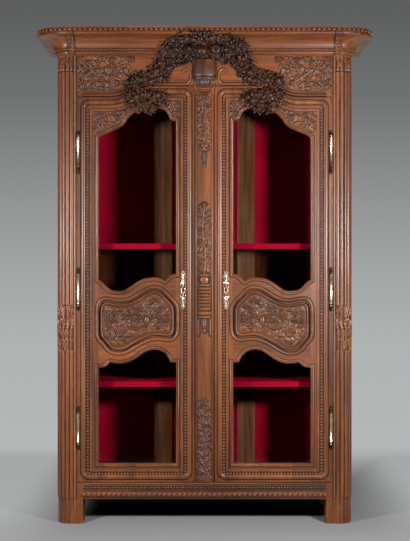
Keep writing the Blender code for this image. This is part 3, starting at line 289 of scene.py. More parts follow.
def wear_group():
    """Painted shade with old wax in the hollows, and high places rubbed pale with a painted highlight, from a
    crest value of 0 to 1.
    """
    group, given, end = new_group(
        "carved_wear",
        (("Vector", "Vector", None), ("Colour", "Color", (0.2, 0.1, 0.05, 1.0)),
         ("Crest", "Float", 0.5), ("Hollow", "Color", (0.02, 0.01, 0.005, 1.0)),
         ("Worn", "Color", (0.45, 0.25, 0.15, 1.0))),
        (("Colour", "Color"), ("Polish", "Float")))
    patchy = math_node(group, "SUBTRACT", noise_node(group, given["Vector"], 38.0, 3.0), 0.5)
    crest = scaled_node(group, patchy, 0.35, given["Crest"])
    # The hollow mask paints shade; the worn mask paints wear and a highlight on the crests
    hollow = span_node(group, crest, 0.08, 0.48)
    wear_and_painted_light = math_node(group, "MULTIPLY", span_node(group, crest, 0.58, 1.0), 0.6)
    filled = mix_node(group, hollow, given["Hollow"], given["Colour"])
    fill_inputs(group, end, {"Colour": mix_node(group, wear_and_painted_light, filled, given["Worn"]),
                             "Polish": scaled_node(group, hollow, -0.17, 0.56)})
    return group


def weave_group():
    """Plain woven cloth: threads both ways and slow changes of tone."""
    group, given, end = new_group(
        "cloth_weave",
        (("Vector", "Vector", None), ("Colour", "Color", (0.4, 0.01, 0.04, 1.0))),
        (("Colour", "Color"), ("Height", "Float")))
    inputs = {"Vector": given["Vector"], "Scale": 260.0, "Distortion": 1.2}
    threads = []
    for way in ("X", "Z"):
        wave = add_node(group, "ShaderNodeTexWave", inputs, wave_type="BANDS", bands_direction=way)
        threads.append(wave.outputs["Fac"])
    height = math_node(group, "MULTIPLY", math_node(group, "ADD", *threads), 0.5)
    slow = noise_node(group, given["Vector"], 6.0, 3.0)
    shade = scaled_node(group, slow, 0.7, scaled_node(group, height, 0.25, 0.50))
    dyed = add_node(group, "ShaderNodeVectorMath", {0: given["Colour"], "Scale": shade}, operation="SCALE")
    fill_inputs(group, end, {"Colour": dyed.outputs["Vector"], "Height": height})
    return group


def group_node(tree, name, inputs):
    """A shared group, built the first time it is asked for, placed in a material."""
    makers = {"oak_grain": grain_group, "carved_wear": wear_group, "cloth_weave": weave_group}
    group = bpy.data.node_groups.get(name) or makers[name]()
    return add_node(tree, "ShaderNodeGroup", inputs, node_tree=group).outputs


def new_material(name, inputs=None):
    """A material with one Principled shader; returns it with its tree and its shader."""
    material = bpy.data.materials.new(name)
    material.use_nodes = True
    tree = material.node_tree
    shader = tree.nodes["Principled BSDF"]
    fill_inputs(tree, shader, inputs or {})
    return material, tree, shader


def stretched_place(tree, grain):
    """Object coordinates, and the same drawn out along the grain: x, y or z."""
    place = object_place(tree)
    turn = {"x": (0.0, QUARTER, 0.0), "y": (QUARTER, 0.0, 0.0), "z": (0.0, 0.0, 0.0)}[grain]
    mapping = add_node(tree, "ShaderNodeMapping", {"Vector": place, "Rotation": turn})
    drawn = add_node(tree, "ShaderNodeVectorMath", {0: mapping.outputs["Vector"], 1: (1.0, 1.0, 0.07)},
                     operation="MULTIPLY")
    return place, drawn.outputs["Vector"]


def add_bump(tree, shader, height, strength, depth):
    """A fine bump under the shader's own shape."""
    bump = add_node(tree, "ShaderNodeBump", {"Height": height, "Strength": strength, "Distance": depth})
    tree.links.new(bump.outputs["Normal"], shader.inputs["Normal"])


def oak_material(name, grain, light, dark, carved=None, wax=0.24):
    """Oak with its grain one way; carved gives the colours of painted shade in the hollows and of wear with a
    painted highlight on the crests, which follow the crest.
    """
    material, tree, shader = new_material(
        name, {"Specular IOR Level": 1.4 * wax, "Coat Weight": wax, "Coat Roughness": 0.27})
    place, vector = stretched_place(tree, grain)
    wood = group_node(tree, "oak_grain", {"Vector": vector, "Light": (*light, 1.0), "Dark": (*dark, 1.0)})
    surface = wood
    if carved:
        crest = add_node(tree, "ShaderNodeAttribute", attribute_name="crest").outputs["Fac"]
        surface = group_node(tree, "carved_wear", {
            "Vector": place, "Colour": wood["Colour"], "Crest": crest, "Hollow": (*carved[0], 1.0),
            "Worn": (*carved[1], 1.0)})
    fill_inputs(tree, shader, {"Base Color": surface["Colour"], "Roughness": surface["Polish"]})
    add_bump(tree, shader, wood["Height"], 0.25, 0.0006)
    return material


def cloth_material(name, tone):
    """Crimson woven cloth with a soft sheen."""
    material, tree, shader = new_material(name, {"Roughness": 0.9, "Specular IOR Level": 0.05})
    weave = group_node(tree, "cloth_weave", {"Vector": object_place(tree), "Colour": (*tone, 1.0)})
    tree.links.new(weave["Colour"], shader.inputs["Base Color"])
    add_bump(tree, shader, weave["Height"], 0.3, 0.0004)
    return material


def tone_node(tree, tone):
    """A plain colour as a socket."""
    output = add_node(tree, "ShaderNodeRGB").outputs[0]
    output.default_value = (*tone, 1.0)
    return output


def metal_material(name, tone, roughness, tarnish):
    """Metal with tarnish gathered in patches."""
    material, tree, shader = new_material(name, {"Metallic": 1.0})
    patch = span_node(tree, noise_node(tree, object_place(tree), 60.0, 4.0), 0.35, 0.65)
    ends = [tone_node(tree, [shade * value for value in tone]) for shade in (tarnish, 1.0)]
    fill_inputs(tree, shader, {"Base Color": mix_node(tree, patch, *ends),
                               "Roughness": scaled_node(tree, patch, -0.12, roughness + 0.06)})
    return material


def glass_material(name):
    """Clear old glass that lets light through to the shelves."""
    material, tree, shader = new_material(name, {
        "Base Color": (0.97, 0.98, 0.97, 1.0), "Roughness": 0.02, "IOR": 1.45, "Transmission Weight": 1.0})
    add_bump(tree, shader, noise_node(tree, object_place(tree), 3.0, 1.0), 0.05, 0.002)
    path = add_node(tree, "ShaderNodeLightPath").outputs
    mix_shaders(tree, math_node(tree, "MAXIMUM", path["Is Shadow Ray"], path["Is Diffuse Ray"]),
                shader.outputs["BSDF"], add_node(tree, "ShaderNodeBsdfTransparent").outputs["BSDF"])
    return material


def build_material(name):
    """One finish of the armoire by name."""
    finish = settings()[0]
    waxed = (finish.oak_light, finish.oak_dark)
    shade_darkened = (finish.oak_dark, finish.oak_hollow)
    inside = (finish.inside_oak, finish.oak_dark)
    wear_and_painted_light = (finish.oak_hollow, finish.oak_worn)
    # Grain, light and dark wood, and where they differ the carving's colours and the wax; the darkened pairs
    # paint shade into the bouquets and the back board
    oaks = {
        "waxed_oak_upright": ("z", *waxed),
        "waxed_oak_level": ("x", *waxed),
        "waxed_oak_deep": ("y", *waxed),
        "carved_oak_upright": ("z", *waxed, wear_and_painted_light),
        "carved_oak_level": ("x", *waxed, wear_and_painted_light),
        "carved_bouquet": ("z", *shade_darkened, (finish.bouquet_dark, finish.bouquet_worn), 0.18),
        "carved_posy": ("z", *shade_darkened, (finish.oak_hollow, finish.oak_light), 0.18),
        # The back board, painted dark as shade
        "shaded_oak": ("z", *shade_darkened, None, 0.0),
        "inside_oak_upright": ("z", *inside, None, 0.0),
        "inside_oak_level": ("x", *inside, None, 0.0),
    }
    metals = {"pale_brass": (finish.brass, 0.30, 0.62), "dark_iron": (finish.iron, 0.42, 0.55)}
    if name in oaks:
        return oak_material(name, *oaks[name])
    if name in metals:
        return metal_material(name, *metals[name])
    return cloth_material(name, finish.cloth) if name == "crimson_cloth" else glass_material(name)


def finish_of(name):
    """A material by name, built the first time it is asked for."""
    return bpy.data.materials.get(name) or build_material(name)


# Lines and shapes


def smooth(points, steps=6):
    """A flowing line through points, with this many steps from each to the next."""
    points = np.asarray(points, float)
    line = []
    for i in range(len(points) - 1):
        before, here = points[max(i - 1, 0)], points[i]
        there, after = points[i + 1], points[min(i + 2, len(points) - 1)]
        for t in np.arange(steps) / steps:
            line.append(0.5 * (2 * here + (there - before) * t
                               + (2 * before - 5 * here + 4 * there - after) * t ** 2
                               + (3 * here - before - 3 * there + after) * t ** 3))
    return np.array([*line, points[-1]])


def door_edge(shaped):
    """A shaped edge of the left door, from its outer stile to its inner one, as (x, z)."""
    level, rise, table = shaped
    span = INNER_SIGHT_X - OUTER_SIGHT_X
    return smooth([(OUTER_SIGHT_X + along * span, level + up * rise) for along, up in table])


def top_edge(drop, outer=DOOR_OUTER_X, inner=DOOR_INNER_X, steps=24):
    """The swept S along the left door's top, moved down by a drop, from outside in."""
    span = INNER_SIGHT_X - OUTER_SIGHT_X
    line = [(outer, DOOR_TOP - drop)]
    for share in np.linspace(0.0, 1.0, steps + 1):
        along = TOP_EDGE_START + (TOP_EDGE_END - TOP_EDGE_START) * share
        rise = (DOOR_INNER_TOP - DOOR_TOP) * (1 - math.cos(math.pi * share)) / 2
        line.append((OUTER_SIGHT_X + along * span, DOOR_TOP - drop + rise))
    return np.array([*line, (inner, DOOR_INNER_TOP - drop)])


def door_top_at(x):
    """Height of the left door's top above places along it."""
    return np.interp(x, *top_edge(0.0).T)


def moved_line(line, distance, closed=False):
    """A line moved to its left by a distance, with mitred corners."""
    line = np.asarray(line, float)
    before = np.roll(line, 1, axis=0) if closed else np.vstack([line[:1] * 2 - line[1:2], line[:-1]])
    after = np.roll(line, -1, axis=0) if closed else np.vstack([line[1:], line[-1:] * 2 - line[-2:-1]])
    coming, going = line - before, after - line
    coming /= np.linalg.norm(coming, axis=1, keepdims=True)
    going /= np.linalg.norm(going, axis=1, keepdims=True)
    across = np.stack([-(coming + going)[:, 1], (coming + going)[:, 0]], axis=1)
    across /= np.maximum(np.linalg.norm(across, axis=1, keepdims=True), 0.2)
    straight = np.stack([-coming[:, 1], coming[:, 0]], axis=1)
    mitre = np.clip((across * straight).sum(axis=1, keepdims=True), 0.55, 1.0)
    return line + across * distance / mitre


def rounded(loop, pitch=0.004, reach=4):
    """A closed line stepped evenly, with its corners rounded off."""
    loop = np.vstack([loop, loop[:1]])
    lengths = np.concatenate([[0.0], np.cumsum(np.linalg.norm(np.diff(loop, axis=0), axis=1))])
    places = np.arange(0.0, lengths[-1], lengths[-1] / round(lengths[-1] / pitch))
    even = np.stack([np.interp(places, lengths, loop[:, axis]) for axis in (0, 1)], axis=1)
    return sum(np.roll(even, step, axis=0) for step in range(-reach, reach + 1)) / (2 * reach + 1)


def inside_loop(x, z, loop):
    """Whether each place lies inside a closed line."""
    inside = np.zeros(x.shape, bool)
    for (x0, z0), (x1, z1) in zip(loop, np.roll(loop, -1, axis=0)):
        if z0 != z1:
            crosses = (z0 > z) != (z1 > z)
            inside ^= crosses & (x < (x1 - x0) * (z - z0) / (z1 - z0) + x0)
    return inside


def loft(rings, closed=False):
    """Points and faces of closed sections joined in order, with end caps unless the row is closed."""
    rings = np.asarray(rings, float)
    count, size = rings.shape[:2]
    index = np.arange(count * size).reshape(count, size)
    faces = []
    for i in range(count if closed else count - 1):
        here, there = index[i], index[(i + 1) % count]
        faces += np.stack([here, np.roll(here, -1), np.roll(there, -1), there], axis=1).tolist()
    if not closed:
        faces += [index[0][::-1].tolist(), index[-1].tolist()]
    return rings.reshape(-1, 3), faces


def moulding(line, section, face_y, closed=False):
    """A section of (distance to the left, height proud, crest) run along (x, z) on a front face."""
    sides = [(moved_line(line, across, closed), face_y - proud) for across, proud, crest in section]
    rings = [[(side[i, 0], y, side[i, 1]) for side, y in sides] for i in range(len(line))]
    return loft(rings, closed)


def quirked(width, height, quirk=0.0022):
    """Section of a half round between two quirks whose nil crests paint them dark with shade, as (distance,
    height, crest).
    """
    half = width / 2
    arc = [(half * math.cos(a), height * math.sin(a), 0.52 * min(1.0, 1.5 * math.sin(a)))
           for a in np.linspace(0.0, math.pi, 9)]
    rim = half + quirk
    return [(rim, SUNK, 0.0), (rim, 0.0005, 0.0), *arc, (-rim, 0.0005, 0.0), (-rim, SUNK, 0.0)]


def mouldings(runs, face_y):
    """One shape of several mouldings, and its crests, from runs of (line, section, closed)."""
    shape = joined([moulding(line, section, face_y, closed) for line, section, closed in runs])
    crests = [np.tile([part[2] for part in section], len(line)) for line, section, closed in runs]
    return shape, np.concatenate(crests)


def lathe(profile, centre, steps=20):
    """A closed turned shape from (radius, height) points that start and end on its upright axis."""
    angles = np.arange(steps) * TURN / steps
    rings = [[(centre[0] + radius * math.cos(a), centre[1] + radius * math.sin(a), centre[2] + height)
              for a in angles] for radius, height in profile[1:-1]]
    points, faces = loft(rings)
    ends = [(centre[0], centre[1], centre[2] + profile[place][1]) for place in (0, -1)]
    faces = faces[:-2]
    count = len(points)
    last = count - steps
    for j in range(steps):
        after = (j + 1) % steps
        faces += [[count, j, after], [count + 1, last + after, last + j]]
    return np.vstack([points, ends]), faces


def block(low, high):
    """A plain box."""
    (x0, y0, z0), (x1, y1, z1) = low, high
    return loft([[(x0, y0, z), (x1, y0, z), (x1, y1, z), (x0, y1, z)] for z in (z0, z1)])


def joined(shapes):
    """Several shapes of points and faces as one."""
    points, faces, count = [], [], 0
    for shape_points, shape_faces in shapes:
        points.append(np.asarray(shape_points))
        faces += [[index + count for index in face] for face in shape_faces]
        count += len(shape_points)
    return np.vstack(points), faces


def volume_of(points, faces):
    """Signed volume inside a closed shape."""
    total = 0.0
    for face in faces:
        corner = points[face[0]]
        for i in range(1, len(face) - 1):
            total += np.dot(corner, np.cross(points[face[i]], points[face[i + 1]]))
    return total / 6


# Finished pieces


def new_mesh(name, points, faces, crest=None):
    """A closed mesh with its faces outward, and its crests if it has them."""
    points = np.asarray(points, float)
    if volume_of(points, faces) < 0:
        faces = [face[::-1] for face in faces]
    mesh = bpy.data.meshes.new(name)
    mesh.from_pydata(points.tolist(), [], faces)
    if crest is not None:
        mesh.attributes.new("crest", "FLOAT", "POINT").data.foreach_set("value", np.asarray(crest, float))
    return mesh


def new_object(name, data):
    """An object in the scene."""
    obj = bpy.data.objects.new(name, data)
    bpy.context.scene.collection.objects.link(obj)
    return obj


def keep_mesh(name, mesh, body, slot, nodes=()):
    """A finished piece from a ready mesh, riding on a body in place of the nodes named."""
    obj = new_object(name, mesh)
    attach(obj, body)
    if nodes:
        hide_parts(*nodes)
    return obj


def keep(name, shape, material, body, slot, nodes=(), crest=None, sharp=40.0):
    """A finished piece of points and faces."""
    mesh = new_mesh(name, *shape, crest)
    mesh.shade_smooth()
    mesh.set_sharp_from_angle(angle=math.radians(sharp))
    mesh.materials.append(finish_of(material))
    return keep_mesh(name, mesh, body, slot, nodes)


def keep_pair(name, shape, material, bodies, slot, nodes=(), **options):
    """A piece made for the left side, and its mirror image."""
    pieces = []
    for side, body, mirror in zip(SIDES, bodies, (1.0, np.array([-1.0, 1.0, 1.0]))):
        pieces.append(keep(f"{name}_{side}", (np.asarray(shape[0]) * mirror, shape[1]), material, body, slot,
                           [f"{node}_{side}" for node in nodes], **options))
    return pieces


# Carved faces


def staggered(low, high, spacing, stray, rng):
    """Places of a staggered grid over a rectangle of (x, z), each a little astray."""
    for row, z in enumerate(np.arange(low[1], high[1], spacing * STAGGER)):
        for x in np.arange(low[0] + (row % 2) * spacing / 2, high[0], spacing):
            x_here = x + rng.uniform(-stray, stray) * spacing
            yield x_here, z + rng.uniform(-stray, stray) * spacing


class Carving:
    """Heights over a grid of places, raised shape by shape and then made into a closed piece."""

    def __init__(self, xs, zs):
        self.xs, self.zs = np.asarray(xs, float), np.asarray(zs, float)
        self.x, self.z = np.meshgrid(self.xs, self.zs)
        self.height = np.zeros_like(self.x)

    @classmethod
    def over(cls, low, high, pitch):
        """An even grid over a rectangle of (x, z)."""
        counts = [max(2, round((end - start) / pitch) + 1) for start, end in zip(low, high)]
        return cls(np.linspace(low[0], high[0], counts[0]), np.linspace(low[1], high[1], counts[1]))

    def window(self, x, z, reach):
        """The part of the grid within reach of a place, and the distances there."""
        columns = slice(*np.searchsorted(self.xs, (x - reach, x + reach)))
        rows = slice(*np.searchsorted(self.zs, (z - reach, z + reach)))
        return (rows, columns), self.x[rows, columns] - x, self.z[rows, columns] - z

    def lift(self, part, value):
        """Raises a part of the grid to a height where it is lower."""
        self.height[part] = np.maximum(self.height[part], value)

    def dome(self, x, z, wide, tall, height, turn=0.0, power=0.5):
        """A rounded lump of two half widths, turned by an angle."""
        part, dx, dz = self.window(x, z, max(wide, tall))
        u = (dx * math.cos(turn) + dz * math.sin(turn)) / wide
        v = (dz * math.cos(turn) - dx * math.sin(turn)) / tall
        self.lift(part, height * np.clip(1 - u * u - v * v, 0, 1) ** power)

    def flower(self, x, z, radius, height, petals=6, turn=0.0):
        """A flower head: parted petals, rounded outwards, around a button."""
        part, dx, dz = self.window(x, z, radius)
        away = np.hypot(dx, dz) / radius
        swing = np.abs(np.cos((np.arctan2(dz, dx) - turn) * petals / 2))
        rim = 0.70 + 0.30 * np.sqrt(swing)
        inside = np.clip(1 - (away / rim) ** 4, 0, 1)
        petal = inside * (0.25 + 0.75 * swing) * (0.35 + 0.65 * np.clip(away / 0.62, 0, 1))
        button = np.clip(1 - (away / 0.27) ** 2, 0, 1) ** 0.5
        self.lift(part, height * np.maximum(petal, 0.95 * button))

    def leaf(self, x, z, size, wide, height, turn, curl=0.0, lobes=0):
        """A pointed leaf from its stalk, with a sunk rib and, if asked, lobed sides."""
        part, dx, dz = self.window(x, z, size * 1.1)
        along = (dx * math.cos(turn) + dz * math.sin(turn)) / size
        aside = (dz * math.cos(turn) - dx * math.sin(turn)) / size - curl * along * (1 - along)
        along = np.clip(along, 0, 1)
        edge = wide / size * np.sin(math.pi * along ** 0.8) ** 0.8 + 1e-6
        if lobes:
            edge *= 0.72 + 0.28 * np.abs(np.sin(math.pi * lobes * along))
        across = np.abs(aside) / edge
        body = np.clip(1 - across ** 3, 0, 1) * np.clip(np.sin(math.pi * along) * 3, 0, 1)
        self.lift(part, height * body * (0.45 + 0.55 * np.clip(across * 2.2, 0, 1)))

    def stem(self, points, width, height):
        """A rounded line through points."""
        line = smooth(points, 5)
        for start, end in zip(line[:-1], line[1:]):
            middle, span = (start + end) / 2, np.linalg.norm(end - start)
            part, dx, dz = self.window(*middle, span / 2 + width)
            way = (end - start) / max(span, 1e-6)
            along = np.clip(dx * way[0] + dz * way[1], -span / 2, span / 2)
            away = np.hypot(dx - along * way[0], dz - along * way[1]) / (width / 2)
            self.lift(part, height * np.sqrt(np.clip(1 - away * away, 0, 1)))

    def spiral(self, x, z, radius, width, height, turn, turns=1.4, hand=1):
        """A scroll that winds in from its outer end."""
        angles = turn + hand * np.linspace(0.0, turns * TURN, 14)
        shrink = np.linspace(1.0, 0.22, 14)
        self.stem(np.stack([x + radius * shrink * np.cos(angles), z + radius * shrink * np.sin(angles)], 1),
                  width, height)

    def spray(self, places, radius, height, rng, petals=(5, 6, 7)):
        """Flower heads of slightly different sizes at places."""
        for x, z in places:
            self.flower(x, z, radius * rng.uniform(0.85, 1.15), height * rng.uniform(0.85, 1.1),
                        rng.choice(petals), rng.uniform(0, 3))

    def fill(self, room, spacing, size, height, rng, flowers=0.35):
        """A dense growth of leaves and flower heads over the places where room is true."""
        low, high = (self.xs[0], self.zs[0]), (self.xs[-1], self.zs[-1])
        for x, z in staggered(low, high, spacing, 0.2, rng):
            column = min(np.searchsorted(self.xs, x), len(self.xs) - 1)
            if not room[min(np.searchsorted(self.zs, z), len(self.zs) - 1), column]:
                continue
            if rng.random() < flowers:
                self.flower(x, z, size * rng.uniform(0.45, 0.6), height, rng.choice((5, 6, 7)),
                            rng.uniform(0, 3))
            else:
                turn = rng.uniform(0, TURN)
                stalk = (x - 0.5 * size * math.cos(turn), z - 0.5 * size * math.sin(turn))
                self.leaf(*stalk, size, size * 0.32, height * rng.uniform(0.6, 0.9), turn,
                          rng.uniform(-0.5, 0.5), 3)

    def blurred(self):
        """The heights smoothed over a few steps of the grid."""
        blurred = self.height.copy()
        for _ in range(3):
            padded = np.pad(blurred, 2, mode="edge")
            blurred = sum(padded[2:-2, i:i + blurred.shape[1]] for i in range(5)) / 5
            padded = np.pad(blurred, 2, mode="edge")
            blurred = sum(padded[i:i + blurred.shape[0], 2:-2] for i in range(5)) / 5
        return blurred

    def solid(self, place, least=0.0003, sink=0.0006, within=None, depth=0.0036):
        """A closed shape of the raised places and their surrounds, and its crests.

        A crest goes from 0 in a hollow to 1 on a tip, and the finish paints shade where it is low and wear
        with a painted highlight where it is high; place turns (x, z, height) into points.
        """
        blurred = self.blurred()
        # The surrounds: a thin sheet just around the carving, whose low crests paint a dark halo of shade
        raised = (blurred > least) | (self.height > least)
        cells = raised[:-1, :-1] | raised[1:, :-1] | raised[:-1, 1:] | raised[1:, 1:]
        if within is not None:
            cells &= within[:-1, :-1] & within[1:, :-1] & within[:-1, 1:] & within[1:, 1:]
        cells = without_pinches(cells)
        columns = len(self.xs)
        rows, steps = np.nonzero(cells)
        corner = rows * columns + steps
        quads = np.stack([corner, corner + 1, corner + columns + 1, corner + columns], axis=1)
        used, quads = np.unique(quads, return_inverse=True)
        quads = quads.reshape(-1, 4)
        count = len(used)
        edges = np.concatenate([quads[:, [i, (i + 1) % 4]] for i in range(4)])
        keys = edges[:, 0].astype(np.int64) * count + edges[:, 1]
        rim = edges[~np.isin(keys, edges[:, 1].astype(np.int64) * count + edges[:, 0])]
        walls = np.stack([rim[:, 1], rim[:, 0], rim[:, 0] + count, rim[:, 1] + count], axis=1)
        x, z, height = (grid.ravel()[used] for grid in (self.x, self.z, self.height))
        front, back = place(x, z, np.maximum(height, least)), place(x, z, np.full(count, -sink))
        faces = np.concatenate([quads, quads[:, ::-1] + count, walls]).tolist()
        crest = np.clip(0.42 + (self.height - blurred) / depth, 0.0, 1.0).ravel()[used]
        return (np.vstack([front, back]), faces), np.concatenate([crest, crest])


def without_pinches(cells):
    """The cells of a mask, filled where two meet only at a corner."""
    cells = cells.copy()
    for _ in range(6):
        a, b, c, d = cells[:-1, :-1], cells[:-1, 1:], cells[1:, :-1], cells[1:, 1:]
        first = a & d & ~b & ~c
        second = b & c & ~a & ~d
        if not (first.any() or second.any()):
            break
        cells[:-1, 1:] |= first
        cells[:-1, :-1] |= second
    return cells


def on_front(face_y):
    """Puts carved heights on a flat front face."""
    return lambda x, z, height: np.stack([x, face_y - height, z], axis=1)


# Repeated beads, flowers and leaves, by geometry nodes


def node_tree(name, inputs):
    """A geometry node group with a mesh going in and out; returns it and what comes in."""
    tree = bpy.data.node_groups.new(name, "GeometryNodeTree")
    for label, kind in (("Geometry", "Geometry"), *inputs, ("Material", "Material")):
        tree.interface.new_socket(name=label, in_out="INPUT", socket_type="NodeSocket" + kind)
    tree.interface.new_socket(name="Geometry", in_out="OUTPUT", socket_type="NodeSocketGeometry")
    return tree, add_node(tree, "NodeGroupInput").outputs


def finish_tree(tree, given, copies):
    """Makes copies real, sets their material and hands them on."""
    real = add_node(tree, "GeometryNodeRealizeInstances", {"Geometry": copies.outputs["Instances"]})
    soft = add_node(tree, "GeometryNodeSetShadeSmooth", {"Geometry": real.outputs["Geometry"]})
    paint = add_node(tree, "GeometryNodeSetMaterial",
                     {"Geometry": soft.outputs["Geometry"], "Material": given["Material"]})
    add_node(tree, "NodeGroupOutput", {"Geometry": paint.outputs["Geometry"]})
    return tree


def bead_tree():
    """Leaning beads at an even pitch along lines, each with painted shade at its base and a painted highlight
    on its top.
    """
    labels = ("Pitch", "Length", "Width", "Height", "Lean")
    tree, given = node_tree("bead_tree", [(label, "Float") for label in labels])
    line = add_node(tree, "GeometryNodeMeshToCurve", {"Mesh": given["Geometry"]})
    even = add_node(tree, "GeometryNodeResampleCurve",
                    {"Curve": line.outputs["Curve"], "Length": given["Pitch"]}, mode="LENGTH")
    ball = add_node(tree, "GeometryNodeMeshUVSphere", {"Segments": 8, "Rings": 5, "Radius": 0.5})
    place = add_node(tree, "GeometryNodeInputPosition").outputs["Position"]
    outward = add_node(tree, "ShaderNodeSeparateXYZ", {0: place}).outputs["Y"]
    # Crest from how far a point faces out: painted shade at the back, painted highlight at the front
    crest = add_node(tree, "GeometryNodeStoreNamedAttribute",
                     {"Geometry": ball.outputs["Mesh"], "Name": "crest",
                      "Value": math_node(tree, "SUBTRACT", 0.36, outward)}, data_type="FLOAT", domain="POINT")
    size = add_node(tree, "ShaderNodeCombineXYZ",
                    {"X": given["Length"], "Y": given["Height"], "Z": given["Width"]})
    shaped = add_node(tree, "GeometryNodeTransform",
                      {"Geometry": crest.outputs["Geometry"], "Scale": size.outputs["Vector"]})
    lean = add_node(tree, "ShaderNodeCombineXYZ", {"Y": given["Lean"]})
    leant = add_node(tree, "GeometryNodeTransform",
                     {"Geometry": shaped.outputs["Geometry"], "Rotation": lean.outputs["Vector"]})
    way = add_node(tree, "GeometryNodeInputTangent").outputs["Tangent"]
    turned = add_node(tree, "FunctionNodeAlignRotationToVector", {"Vector": way}, axis="X", pivot_axis="Y")
    copies = add_node(tree, "GeometryNodeInstanceOnPoints",
                      {"Points": even.outputs["Curve"], "Instance": leant.outputs["Geometry"],
                       "Rotation": turned.outputs["Rotation"]})
    return finish_tree(tree, given, copies)


def bloom_tree():
    """Copies of one bloom at points that carry their own turn and size."""
    tree, given = node_tree("bloom_tree", (("Bloom", "Object"), ("Size", "Float")))
    shape = add_node(tree, "GeometryNodeObjectInfo", {"Object": given["Bloom"]}, transform_space="ORIGINAL")
    turn = add_node(tree, "GeometryNodeInputNamedAttribute", {"Name": "turn"}, data_type="FLOAT_VECTOR")
    size = add_node(tree, "GeometryNodeInputNamedAttribute", {"Name": "size"}, data_type="FLOAT")
    scale = math_node(tree, "MULTIPLY", size.outputs["Attribute"], given["Size"])
    copies = add_node(tree, "GeometryNodeInstanceOnPoints",
                      {"Points": given["Geometry"], "Instance": shape.outputs["Geometry"],
                       "Rotation": turn.outputs["Attribute"], "Scale": scale})
    return finish_tree(tree, given, copies)


def grown_mesh(name, mesh, maker, values):
    """The mesh that a node group makes from a mesh, with the inputs named set first."""
    tree = bpy.data.node_groups.get(maker.__name__) or maker()
    obj = new_object(name, mesh)
    modifier = obj.modifiers.new("rows", "NODES")
    modifier.node_group = tree
    for item in tree.interface.items_tree:
        if item.in_out == "INPUT" and item.name in values:
            modifier[item.identifier] = values[item.name]
    bpy.context.view_layer.update()
    graph = bpy.context.evaluated_depsgraph_get()
    made = bpy.data.meshes.new_from_object(obj.evaluated_get(graph), preserve_all_data_layers=True,
                                           depsgraph=graph)
    bpy.data.objects.remove(obj)
    made.name = name
    return made


def line_mesh(lines):
    """A mesh of bare edges along lines of points."""
    points, edges = [], []
    for line in lines:
        edges += [(len(points) + i, len(points) + i + 1) for i in range(len(line) - 1)]
        points += [tuple(point) for point in line]
    mesh = bpy.data.meshes.new("lines")
    mesh.from_pydata(points, edges, [])
    return mesh


def bead_rows(name, lines, body, pitch, width, height, lean, material, stretch=0.92):
    """Rows of beads along lines of points, as one piece."""
    values = {"Pitch": pitch, "Length": pitch * stretch, "Width": width, "Height": 2 * height, "Lean": lean,
              "Material": finish_of(material)}
    return keep_mesh(name, grown_mesh(name, line_mesh(lines), bead_tree, values), body, "oak")


def bloom_shape(name, petals, rings, steps=2):
    """A closed flower of radius 1 facing -Y: rings of (radius, height, scallop, crest), outside first."""
    points, crests = [], []
    sides = petals * steps
    for radius, height, scallop, crest in rings:
        for i in range(sides):
            angle = TURN * i / sides
            valley = i % steps != 0
            reach = radius * (1 - scallop * valley)
            points.append((reach * math.cos(angle), -height * (1 - 0.5 * scallop * valley),
                           reach * math.sin(angle)))
            # Valleys between petals and the bloom's base get lower crests, painted shade; the outer tips get
            # higher ones, a painted highlight
            crests.append(crest * (1 - 0.8 * scallop * valley))
    last = (len(rings) - 1) * sides
    back, front = len(points), len(points) + 1
    points += [(0.0, 0.35, 0.0), (0.0, -rings[-1][1] - 0.1, 0.0)]
    crests += [0.0, rings[-1][3]]
    faces = []
    for i in range(sides):
        after = (i + 1) % sides
        for start in range(0, last, sides):
            faces.append([start + i, start + after, start + sides + after, start + sides + i])
        faces += [[back, after, i], [front, last + i, last + after]]
    return new_object(name, new_mesh(name, points, faces, crests))


def leaf_shape(name):
    """A closed curling leaf of length 1 along +Z, facing -Y."""
    points, crests = [], []
    # How far along, half width and lift; then how far across, fold and crest
    stations = ((0.0, 0.05, 0.0), (0.25, 0.19, 0.10), (0.52, 0.23, 0.20), (0.78, 0.16, 0.25),
                (1.0, 0.03, 0.20))
    places = ((-1, 0.10, 0.95), (-0.5, 0.12, 0.6), (0, 0.0, 0.15), (0.5, 0.12, 0.6), (1, 0.10, 0.95))
    for along, wide, lift in stations:
        for across, fold, crest in places:
            points.append((across * wide, -lift - fold * wide * 2.5, along))
            # Crests: a painted highlight on the edges and towards the tip, painted shade along the rib and on
            # the back
            crests.append(crest * (0.5 + 0.5 * along))
    count = len(points)
    points += [(x * 0.9, y + 0.14, z) for x, y, z in points]
    crests += [0.0] * count
    index = np.arange(count).reshape(len(stations), len(places))
    faces = []
    for low, high in zip(index[:-1], index[1:]):
        for j in range(len(places) - 1):
            quad = [int(low[j]), int(low[j + 1]), int(high[j + 1]), int(high[j])]
            faces += [quad, [count + corner for corner in reversed(quad)]]
    rim = [*index[0], *index[1:, -1], *index[-1, -2::-1], *index[-2:0:-1, 0]]
    for here, there in zip(rim, np.roll(rim, -1)):
        faces.append([int(there), int(here), int(count + here), int(count + there)])
    return new_object(name, new_mesh(name, points, faces, crests))


# Operators


